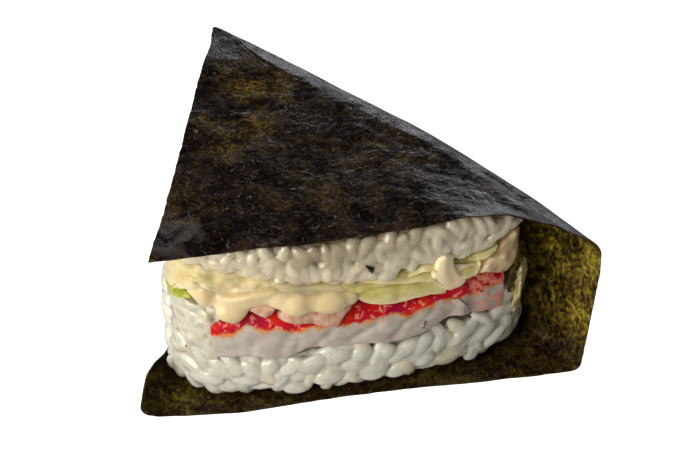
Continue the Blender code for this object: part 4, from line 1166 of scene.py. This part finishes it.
sauceLook = {
    "voxel": 0.4,
    "band": [[(-38.2, 28.6, 0.5), (-34.0, 26.6, 0.7), (-31.0, 25.6, 0.8), (-27.0, 25.8, 0.7), (-21.0, 27.2, 0.4),
              (-18.0, 26.2, 0.8), (-12.0, 26.0, 0.8), (-8.0, 25.2, 0.8), (-4.2, 27.2, 0.4)],
             [(-38.0, 29.4, 0.8), (-33.0, 29.4, 1.0), (-27.0, 29.2, 1.0), (-20.0, 29.6, 0.6), (-12.0, 28.2, 0.8),
              (-4.4, 27.8, 0.4)],
             [(-37.6, 30.0, 0.0), (-33.0, 31.4, -0.2), (-27.0, 31.0, -0.4), (-20.0, 31.4, -0.5), (-12.0, 29.6, -0.5),
              (-4.8, 28.4, -0.5)]],
    "shelf": [[(-31.8, 26.2, 1.0), (-29.2, 25.9, 1.6), (-26.2, 25.9, 1.5), (-22.5, 26.9, 1.2), (-20.9, 27.9, 1.0),
               (-19.9, 29.8, 0.6)],
              [(-31.8, 27.8, 1.8), (-29.2, 27.4, 2.3), (-26.6, 27.8, 2.3), (-23.7, 28.8, 2.0), (-21.2, 29.4, 1.5),
               (-19.8, 30.4, 0.8)],
              [(-31.7, 29.2, 2.0), (-29.2, 28.6, 2.7), (-26.6, 29.0, 2.7), (-23.7, 30.1, 2.3), (-20.9, 30.4, 1.7),
               (-19.7, 30.9, 0.9)],
              [(-31.5, 30.0, 0.2), (-29.2, 30.0, 0.3), (-26.6, 30.6, 0.3), (-23.7, 31.3, 0.2), (-20.9, 31.5, 0.1),
               (-19.7, 31.4, 0.1)]],
    # x, height, how far out, and half its width, depth and height
    "drips": [(-29.2, 25.3, 0.9, 3.6, 2.0, 2.5), (-28.9, 24.1, 1.0, 2.0, 1.6, 1.9), (-15.9, 26.6, 1.1, 3.6, 2.2, 3.0),
              (-9.2, 26.5, 1.1, 4.2, 2.2, 2.7), (-12.4, 27.0, 0.9, 3.4, 1.8, 2.2), (-19.2, 28.2, 0.5, 2.8, 1.6, 2.4),
              (-5.4, 27.0, 0.6, 2.4, 1.5, 1.8)],
    "lump": [[(-37.0, 27.8, 0.6), (-35.8, 26.2, 1.2), (-34.8, 25.4, 1.5), (-33.9, 26.4, 1.3), (-32.4, 27.0, 0.8)],
             [(-37.8, 28.8, 1.0), (-36.2, 28.4, 2.1), (-34.9, 28.0, 2.6), (-33.8, 28.4, 2.1), (-32.0, 28.6, 1.1)],
             [(-38.4, 29.4, 0.4), (-36.6, 30.4, 1.7), (-35.0, 31.2, 1.9), (-33.4, 31.4, 1.2), (-31.6, 30.4, 0.4)],
             [(-38.2, 30.2, -0.9), (-36.4, 31.6, -0.3), (-34.8, 32.6, -0.2), (-33.2, 32.4, -0.6), (-31.4, 31.6, -0.9)]],
    "rightStrip": [[(15.6, 23.6, 0.6), (16.6, 22.9, 0.9), (18.6, 23.3, 0.5)],
                   [(14.2, 25.2, 0.8), (16.8, 24.2, 1.3), (20.6, 24.3, 0.7)],
                   [(12.4, 27.0, 0.9), (16.0, 26.0, 1.4), (20.6, 25.6, 0.6)],
                   [(12.8, 28.6, 1.1), (15.6, 28.0, 1.5), (18.4, 27.0, 0.8)],
                   [(13.4, 30.2, 1.1), (15.4, 30.0, 1.5), (17.4, 29.6, 0.9)],
                   [(13.9, 32.4, 1.2), (15.6, 32.6, 1.7), (17.4, 32.3, 1.1)]],
    "rightMass": [[(22.6, 25.2, 0.4), (25.0, 25.0, 0.7), (28.0, 23.4, 0.7), (30.0, 23.0, 0.4), (32.6, 25.2, 0.2)],
                  [(22.8, 26.6, 0.6), (25.4, 26.8, 1.0), (28.6, 27.0, 1.0), (30.6, 27.0, 0.7), (33.2, 28.0, 0.2)],
                  [(23.4, 28.2, -0.2), (26.0, 29.2, 0.2), (29.2, 31.2, 0.2), (31.4, 32.6, 0.0), (33.2, 32.8, -0.4)]],
}


def sauceLumps(x, z):
    # the right part is mixed with crumbs of rice
    return 0.9 * noise(np.stack([x, z, x * 0], axis=-1), 2.6, 91) + 0.4 * noise(np.stack([x, z, x * 0], axis=-1), 1.3, 92)


def sauceMaterial(name, pale, deep):
    # mayonnaise: smooth, thick and glossy cream with a few dots of chilli oil
    material, tree = newMaterial(name)
    coords = addNode(tree, "ShaderNodeTexCoord").outputs["Object"]
    cloud = addNode(tree, "ShaderNodeTexNoise", {"Vector": coords, "Scale": 160.0, "Detail": 3.0})
    cream = addNode(tree, "ShaderNodeValToRGB", {"Fac": cloud.outputs["Fac"]}, [(0.35, deep), (0.62, pale)])
    dots = addNode(tree, "ShaderNodeTexVoronoi", {"Vector": coords, "Scale": 150.0, "Randomness": 1.0})
    dot = addNode(tree, "ShaderNodeMapRange", {"Value": dots.outputs["Distance"], "From Min": 0.05, "From Max": 0.08,
                                               "To Min": 0.75, "To Max": 0.0})
    colour = addNode(tree, "ShaderNodeMix", {0: dot, 6: cream.outputs["Color"], 7: linear("c98a3a")}, data_type="RGBA")
    # painted shade: the mass right of the strip is painted darker
    browned = addNode(tree, "ShaderNodeAttribute", attribute_name="browned").outputs["Fac"]
    colour = addNode(tree, "ShaderNodeMix", {0: browned, 6: colour.outputs[2], 7: linear("a07e48")}, data_type="RGBA")
    fine = addNode(tree, "ShaderNodeTexNoise", {"Vector": coords, "Scale": 500.0, "Detail": 2.0})
    bump = addNode(tree, "ShaderNodeBump", {"Height": fine.outputs["Fac"], "Strength": 0.12, "Distance": 0.0004})
    cream = addNode(tree, "ShaderNodeBsdfPrincipled", {
        "Base Color": colour.outputs[2], "Roughness": 0.24, "Normal": bump, "Subsurface Weight": 0.5,
        "Subsurface Radius": (1.0, 0.75, 0.4), "Subsurface Scale": 0.0015, "Specular IOR Level": 0.4})
    addNode(tree, "ShaderNodeOutputMaterial", {"Surface": cream})
    return material


def buildSauce():
    look = sauceLook
    lumps = [lump(*spot) for spot in look["drips"]]
    bodies = [mergedCopy("sauce_lower", 1.0), slab(look["band"], 3.0), slab(look["shelf"], 3.0),
              slab(look["lump"], 3.0), *lumps]
    piece = skin("sauce_drips", bodies, look["voxel"], 20)
    piece.data.materials.append(sauceMaterial("thickMayonnaise", "e4d1a6", "d2bc8e"))
    finishPiece(piece, "sauce", "sauce_lower")
    bodies = [mergedCopy("sauce_right", 1.0), slab(look["rightStrip"], 2.6), slab(look["rightMass"], 2.4, 60, 30, sauceLumps)]
    piece = skin("sauce_run", bodies, 0.75 * look["voxel"], 9)
    # the sauce right of the strip gets painted shade
    setAttribute(piece.data, "browned", 0.5 * ease(19, 23, pointsOf(piece.data)[:, 0]))
    piece.data.materials.append(sauceMaterial("runnyMayonnaise", "fae6c0", "e6cfa4"))
    finishPiece(piece, "sauce", "sauce_right")


buildSauce()


# filling: lettuce

# each leaf is a list of lines of x, height and how far out, from one edge to the other
lettuceLook = {
    "thickness": 0.45,
    "ridges": 0.32,
    "mass": [[(-41.0, 27.6, 0.2), (-40.0, 28.0, 0.6), (-38.4, 29.2, 0.8), (-36.5, 30.6, 1.1), (-34.5, 31.2, 1.0),
              (-31.5, 30.0, 0.5), (-27.0, 30.4, 0.3), (-21.0, 31.0, 0.0)],
             [(-41.1, 30.0, 0.0), (-39.8, 31.0, 0.7), (-37.4, 32.6, 1.3), (-34.6, 33.2, 1.2), (-31.5, 32.6, 0.3),
              (-27.0, 32.6, -0.6), (-21.0, 32.6, -1.0)],
             [(-41.0, 33.0, -0.4), (-39.6, 34.2, 0.3), (-37.2, 35.0, 0.6), (-34.0, 35.6, 0.4), (-31.0, 35.4, -0.6),
              (-27.0, 35.0, -1.8), (-21.0, 34.8, -2.2)],
             [(-40.4, 36.5, -1.6), (-39.0, 37.5, -1.2), (-37.0, 38.0, -1.2), (-34.0, 38.2, -1.4), (-31.0, 38.0, -2.2),
              (-27.0, 37.5, -3.2), (-21.0, 37.0, -3.6)]],
    "sheet": [[(-24.0, 31.4, -1.0), (-20.8, 30.9, 0.0), (-17.8, 29.9, 0.8), (-12.0, 28.7, 1.1), (-8.0, 28.2, 1.0),
               (-4.6, 27.7, 0.8), (-1.2, 28.2, 0.2), (1.5, 28.8, -0.6)],
              [(-24.2, 32.0, -1.2), (-20.6, 31.6, -0.3), (-17.6, 30.7, 0.3), (-12.0, 29.4, 0.5), (-8.0, 28.9, 0.4),
               (-4.4, 28.5, 0.2), (-1.0, 28.9, -0.1), (1.7, 29.4, -0.8)],
              [(-24.4, 33.4, -1.6), (-20.4, 33.2, -1.0), (-17.2, 32.4, -0.7), (-12.0, 31.0, -0.5), (-7.6, 30.6, -0.5),
               (-3.8, 30.4, -0.6), (-0.6, 30.6, -0.8), (2.0, 30.8, -1.2)],
              [(-24.6, 36.4, -3.0), (-20.0, 36.4, -3.0), (-16.0, 35.0, -3.0), (-11.0, 33.6, -3.0), (-6.0, 33.0, -3.0),
               (-3.0, 32.8, -3.0), (-1.0, 32.6, -3.0), (2.0, 32.6, -3.0)]],
    "cup": [[(-4.5, 27.1, 0.6), (-1.6, 25.0, 1.0), (1.7, 23.9, 1.1), (4.5, 23.5, 1.2), (7.8, 23.6, 1.1), (11.8, 23.8, 0.9),
             (15.6, 23.0, 0.4)],
            [(-5.5, 28.2, 0.5), (-1.8, 26.5, 0.8), (0.8, 25.5, 0.9), (4.2, 24.8, 1.0), (7.8, 24.4, 0.9), (11.2, 24.4, 0.7),
             (15.7, 23.5, 0.4)],
            [(-6.0, 29.2, 0.1), (-2.0, 28.2, 0.2), (0.6, 27.7, 0.2), (5.0, 26.7, 0.3), (9.0, 26.2, 0.3),
             (13.0, 25.4, 0.2), (15.8, 24.2, 0.2)],
            [(-6.7, 31.1, -0.8), (-3.5, 30.6, -0.8), (0.6, 30.1, -0.8), (5.5, 28.9, -0.7), (9.7, 28.6, -0.6),
             (13.4, 27.6, -0.3), (15.8, 24.8, 0.0)]],
    "curl": [[(-3.0, 30.6, -0.6), (-0.5, 30.0, -0.2), (3.3, 29.0, 0.3), (6.9, 28.0, 0.7), (9.7, 27.9, 0.9), (13.0, 26.8, 1.0),
              (14.6, 25.4, 0.9), (15.8, 24.0, 0.6)],
             [(-2.6, 31.3, -0.9), (0.0, 30.8, -0.5), (4.0, 29.9, 0.0), (7.5, 28.9, 0.3), (10.0, 28.8, 0.5), (13.4, 27.9, 0.5),
              (15.0, 26.4, 0.5), (16.2, 24.8, 0.4)],
             [(-2.0, 33.2, -2.0), (1.0, 32.6, -1.8), (5.0, 32.0, -1.5), (8.3, 30.8, -1.0), (10.2, 30.4, -0.7),
              (13.7, 29.9, -0.4), (15.4, 28.6, -0.4), (16.8, 26.4, -0.4)]],
    "flap": [[(5.6, 29.4, -0.6), (7.6, 29.6, 0.0), (10.5, 30.2, 0.4), (13.9, 29.8, 0.5), (15.6, 29.0, 0.2)],
             [(5.6, 30.0, -0.8), (8.0, 30.4, -0.3), (10.8, 31.2, 0.0), (14.0, 30.9, 0.1), (15.6, 30.2, 0.0)],
             [(6.0, 33.0, -2.0), (9.0, 33.6, -1.8), (11.0, 34.0, -1.8), (14.2, 34.0, -1.8), (15.8, 33.6, -1.8)]],
    "right": [[(17.2, 28.6, -0.2), (18.4, 26.8, 0.3), (19.6, 25.6, 0.8), (21.0, 25.1, 1.1), (22.4, 25.2, 1.2),
               (23.4, 26.6, 0.9), (23.6, 28.2, 0.4)],
              [(17.2, 30.0, -1.0), (18.4, 28.8, -0.8), (19.6, 27.9, -0.4), (21.0, 27.4, 0.1), (22.0, 27.4, 0.2),
               (22.8, 28.2, 0.0), (23.2, 29.2, -0.2)],
              [(17.0, 34.0, -2.6), (18.4, 33.4, -2.6), (19.6, 32.6, -2.4), (20.8, 31.8, -2.0), (22.0, 31.4, -1.8),
               (23.0, 31.0, -1.6), (23.8, 30.8, -1.4)]],
    "tip": [[(20.8, 30.2, 0.1), (22.4, 29.2, 0.6), (23.8, 29.0, 0.8), (25.4, 29.4, 0.8), (26.8, 30.0, 0.5), (27.4, 31.2, 0.0)],
            [(20.8, 31.2, -0.8), (22.4, 30.6, -0.3), (23.8, 30.3, 0.0), (25.4, 30.6, 0.0), (26.6, 31.2, -0.2),
             (27.2, 32.0, -0.6)],
            [(20.6, 33.4, -2.4), (22.4, 33.2, -2.2), (23.8, 33.0, -2.0), (25.6, 33.2, -2.0), (26.8, 33.8, -2.0),
             (27.4, 34.4, -2.0)]],
    "scrap": [[(-41.4, 27.4, 0.4), (-40.6, 26.0, 0.8), (-39.9, 25.6, 1.0), (-39.0, 26.4, 1.1), (-38.2, 27.2, 1.0),
               (-37.3, 27.6, 0.8)],
              [(-41.3, 27.8, 0.5), (-40.4, 27.2, 1.4), (-39.6, 27.4, 0.7), (-38.9, 27.8, 1.5), (-38.1, 28.2, 0.9),
               (-37.2, 27.9, 0.8)],
              [(-41.2, 28.0, 0.3), (-40.4, 28.2, 0.5), (-39.8, 29.4, 0.7), (-38.9, 29.5, 0.6), (-38.0, 28.9, 0.6),
               (-37.2, 28.3, 0.5)]],
    "scrapRight": [[(31.6, 11.0, 0.2), (32.6, 10.2, 0.5), (34.2, 9.6, 0.2)],
                   [(32.2, 14.4, 0.4), (33.8, 14.0, 1.0), (35.4, 13.4, 0.5)],
                   [(32.4, 18.6, 0.4), (34.4, 18.2, 1.1), (36.2, 17.6, 0.6)],
                   [(33.2, 22.2, 0.0), (34.6, 21.8, 0.6), (35.8, 21.0, 0.2)]],
}


def lettuceMaterial(name, rim, pale, deep):
    # raw lettuce heart: thin, wet and half clear, cream at the cut rim, with fine veins along the leaf
    material, tree = newMaterial(name)
    place = addNode(tree, "ShaderNodeAttribute", attribute_name="leafPlace").outputs["Vector"]
    coords = addNode(tree, "ShaderNodeTexCoord").outputs["Object"]
    apart = addNode(tree, "ShaderNodeSeparateXYZ", {0: place})
    cloud = addNode(tree, "ShaderNodeTexNoise", {"Vector": coords, "Scale": 220.0, "Detail": 4.0, "Roughness": 0.6})
    # veins about 0.4 mm apart
    stretched = addNode(tree, "ShaderNodeMapping", {"Vector": place, "Scale": (180, 2600, 1)})
    veins = addNode(tree, "ShaderNodeTexNoise", {"Vector": stretched, "Scale": 1.0, "Detail": 3.0, "Roughness": 0.6})
    body = addNode(tree, "ShaderNodeValToRGB", {"Fac": cloud.outputs["Fac"]}, [(0.36, deep), (0.62, pale)])
    fromRim = addNode(tree, "ShaderNodeMapRange", {"Value": apart.outputs["Y"], "From Min": 0.0003, "From Max": 0.0022,
                                                   "To Min": 0.8, "To Max": 0.0})
    colour = addNode(tree, "ShaderNodeMix", {0: fromRim, 6: body.outputs["Color"], 7: linear(rim)}, data_type="RGBA")
    vein = addNode(tree, "ShaderNodeMapRange", {"Value": veins.outputs["Fac"], "From Min": 0.54, "From Max": 0.7,
                                                "To Min": 0.0, "To Max": 0.3})
    colour = addNode(tree, "ShaderNodeMix", {0: vein, 6: colour.outputs[2], 7: linear("efe9cc")}, data_type="RGBA")
    # leaves are painted darker where they lie in shade: painted shade
    soaked = addNode(tree, "ShaderNodeAttribute", attribute_name="soaked").outputs["Fac"]
    colour = addNode(tree, "ShaderNodeMix", {0: soaked, 6: colour.outputs[2], 7: linear("a08a58")}, data_type="RGBA")
    bump = addNode(tree, "ShaderNodeBump", {"Height": veins.outputs["Fac"], "Strength": 0.15, "Distance": 0.0003})
    wetLeafAndPaintedShade = addNode(tree, "ShaderNodeBsdfPrincipled", {
        "Base Color": colour.outputs[2], "Roughness": 0.3, "Normal": bump, "Subsurface Weight": 0.4,
        "Subsurface Radius": (0.9, 1.0, 0.4), "Subsurface Scale": 0.0012})
    through = addNode(tree, "ShaderNodeBsdfTranslucent", {"Color": colour.outputs[2], "Normal": bump})
    leaf = addNode(tree, "ShaderNodeMixShader", {0: 0.25, 1: wetLeafAndPaintedShade, 2: through})
    addNode(tree, "ShaderNodeOutputMaterial", {"Surface": leaf})
    return material


def leafBody(lines, wave, seed, columns=90, rows=26):
    # a thin leaf through these lines, its edges and face waved by this many mm, and its place values
    spots = loft(lines, columns, rows, 2)
    flat = np.stack([spots[..., 0], spots[..., 1], spots[..., 0] * 0], axis=-1)
    spots[..., 2] += wave * (noise(flat, 3.2, seed) + 0.6 * noise(flat, 1.5, seed + 1))
    # ridges that run along the leaf
    spots[..., 2] += lettuceLook["ridges"] * noise(flat * [0.16, 1, 1], 0.8, seed + 3)
    spots[0, :, 1] += 0.3 * wave * noise(flat[0], 1.2, seed + 2)
    grid = onFront(spots)
    normal = gridNormals(grid)
    half = lettuceLook["thickness"] / 2
    points, faces = between(grid + normal * half, grid - normal * half)
    run = np.cumsum(np.linalg.norm(np.diff(grid, axis=1, prepend=grid[:, :1]), axis=2), axis=1)
    rise = np.cumsum(np.linalg.norm(np.diff(grid, axis=0, prepend=grid[:1]), axis=2), axis=0)
    place = np.stack([run, rise, run * 0], axis=-1).reshape(-1, 3) * mm
    return points, faces, np.tile(place, (2, 1))


def addLeaves(name, node, slotName, material, leaves):
    points, faces, places, soaked = np.empty((0, 3)), [], [], []
    # the last value of each leaf is how much painted shade it gets
    for key, wave, seed, share in leaves:
        leafPoints, leafFaces, leafPlaces = leafBody(lettuceLook[key], wave, seed)
        soaked += [share] * len(leafPoints)
        faces += [[k + len(points) for k in face] for face in leafFaces]
        points = np.vstack([points, leafPoints])
        places.append(leafPlaces)
    mesh = meshOf(name, points, faces, {"soaked": soaked})
    setVector(mesh, "leafPlace", np.concatenate(places))
    mesh.set_sharp_from_angle(angle=math.radians(70))
    finishPiece(addObject(name, mesh, material), slotName, node)


def buildLettuce():
    heart = lettuceMaterial("lettuceHeart", "f8ecc6", "f8eabc", "ead596")
    leaf = lettuceMaterial("lettuceLeaf", "f8eebc", "efe69c", "d3c668")
    green = lettuceMaterial("lettuceTip", "cdd45a", "bfc83c", "98a31c")
    addLeaves("lettuce_left", "lettuce_leaf_left", "lettuce", heart, [("mass", 0.8, 61, 0.0), ("sheet", 0.3, 64, 0.35)])
    addLeaves("lettuce_cup", "lettuce_leaf_lower", "lettuce", leaf, [("cup", 0.15, 71, 0.0)])
    addLeaves("lettuce_curl", "lettuce_leaf_upper", "lettuce", leaf,
              [("curl", 0.15, 74, 0.0), ("flap", 0.15, 77, 0.0), ("right", 0.2, 80, 0.1), ("tip", 0.25, 83, 0.1)])
    addLeaves("lettuce_tip", "lettuce_scrap_left", "lettuce_green", green, [("scrap", 0.3, 86, 0.0)])
    addLeaves("lettuce_shred", "lettuce_scrap_right", "lettuce", heart, [("scrapRight", 0.3, 89, 0.2)])


buildLettuce()


# small things on the cut face: a flake of nori on the rice, bits of dried herb and a shred of crab

bitsLook = {
    "noriFlake": [[(-1.1, 33.3, 0.9), (-0.3, 32.4, 1.0)], [(-1.9, 34.9, 1.0), (0.0, 34.0, 1.2)]],
    "noriFold": [[(30.4, 17.0, 0.2), (31.8, 16.4, 0.7), (33.2, 17.0, 0.3)], [(31.0, 20.0, 0.6), (32.4, 20.0, 0.1), (33.6, 20.6, 0.7)],
                 [(31.4, 23.6, 0.3), (32.6, 24.0, 0.8), (34.0, 24.6, 0.4)], [(32.0, 27.4, 0.0), (33.0, 27.6, 0.3), (34.0, 28.0, 0.1)]],
    "crabShred": [[(20.1, 15.2, 0.9), (21.7, 15.6, 0.9)], [(18.8, 17.6, 1.5), (20.4, 18.0, 1.6)], [(16.9, 20.2, 1.3), (18.7, 20.2, 1.3)]],
    # x, height, how far out, and half its width, depth and height
    "herbs": [(11.1, 15.9, 1.5, 0.18, 0.2, 0.7), (10.9, 14.9, 1.3, 0.3, 0.2, 0.22), (11.3, 16.5, 1.5, 0.25, 0.2, 0.2),
              (21.7, 14.9, 1.0, 0.25, 0.2, 0.2), (23.9, 20.3, 1.2, 0.4, 0.2, 0.16), (-38.6, 13.2, 0.3, 0.2, 0.2, 0.2)],
}


def herbMaterial():
    # dried parsley: matt dark green-brown specks
    material, tree = newMaterial("driedHerb")
    coords = addNode(tree, "ShaderNodeTexCoord").outputs["Object"]
    cloud = addNode(tree, "ShaderNodeTexNoise", {"Vector": coords, "Scale": 2500.0, "Detail": 2.0})
    tint = addNode(tree, "ShaderNodeValToRGB", {"Fac": cloud.outputs["Fac"]}, [(0.35, "3a3520"), (0.65, "6a6238")])
    dry = addNode(tree, "ShaderNodeBsdfPrincipled", {"Base Color": tint.outputs["Color"], "Roughness": 0.8})
    addNode(tree, "ShaderNodeOutputMaterial", {"Surface": dry})
    return material


def addBit(name, slotName, material, bodies, attributes=None):
    points, faces = np.empty((0, 3)), []
    for bodyPoints, bodyFaces in bodies:
        faces += [[k + len(points) for k in face] for face in bodyFaces]
        points = np.vstack([points, bodyPoints])
    values = {key: np.full(len(points), value) for key, value in (attributes or {}).items()}
    mesh = meshOf(name, points, faces, values)
    mesh.set_sharp_from_angle(angle=math.radians(60))
    return finishPiece(addObject(name, mesh, material), slotName)


def buildBits():
    look = bitsLook
    nori = bpy.data.materials["roastedNori"]
    flake, fold = (slab(look[key], depth, 16, 16) for key, depth in (("noriFlake", 0.2), ("noriFold", 0.3)))
    addBit("nori_flake", "nori", nori, [flake])
    # the fold is painted as lit through from behind: painted light
    addBit("nori_fold", "nori", nori, [fold], {"inner": 1.0, "lit": 1.0})
    addBit("crab_shred", "crab_stick", bpy.data.materials["pressedCrabPaste"], [slab(look["crabShred"], 0.3, 10, 16)],
           {"aboveDye": -6.0})
    addBit("herb_bits", "lettuce_green", herbMaterial(), [lump(*spot) for spot in look["herbs"]])


buildBits()
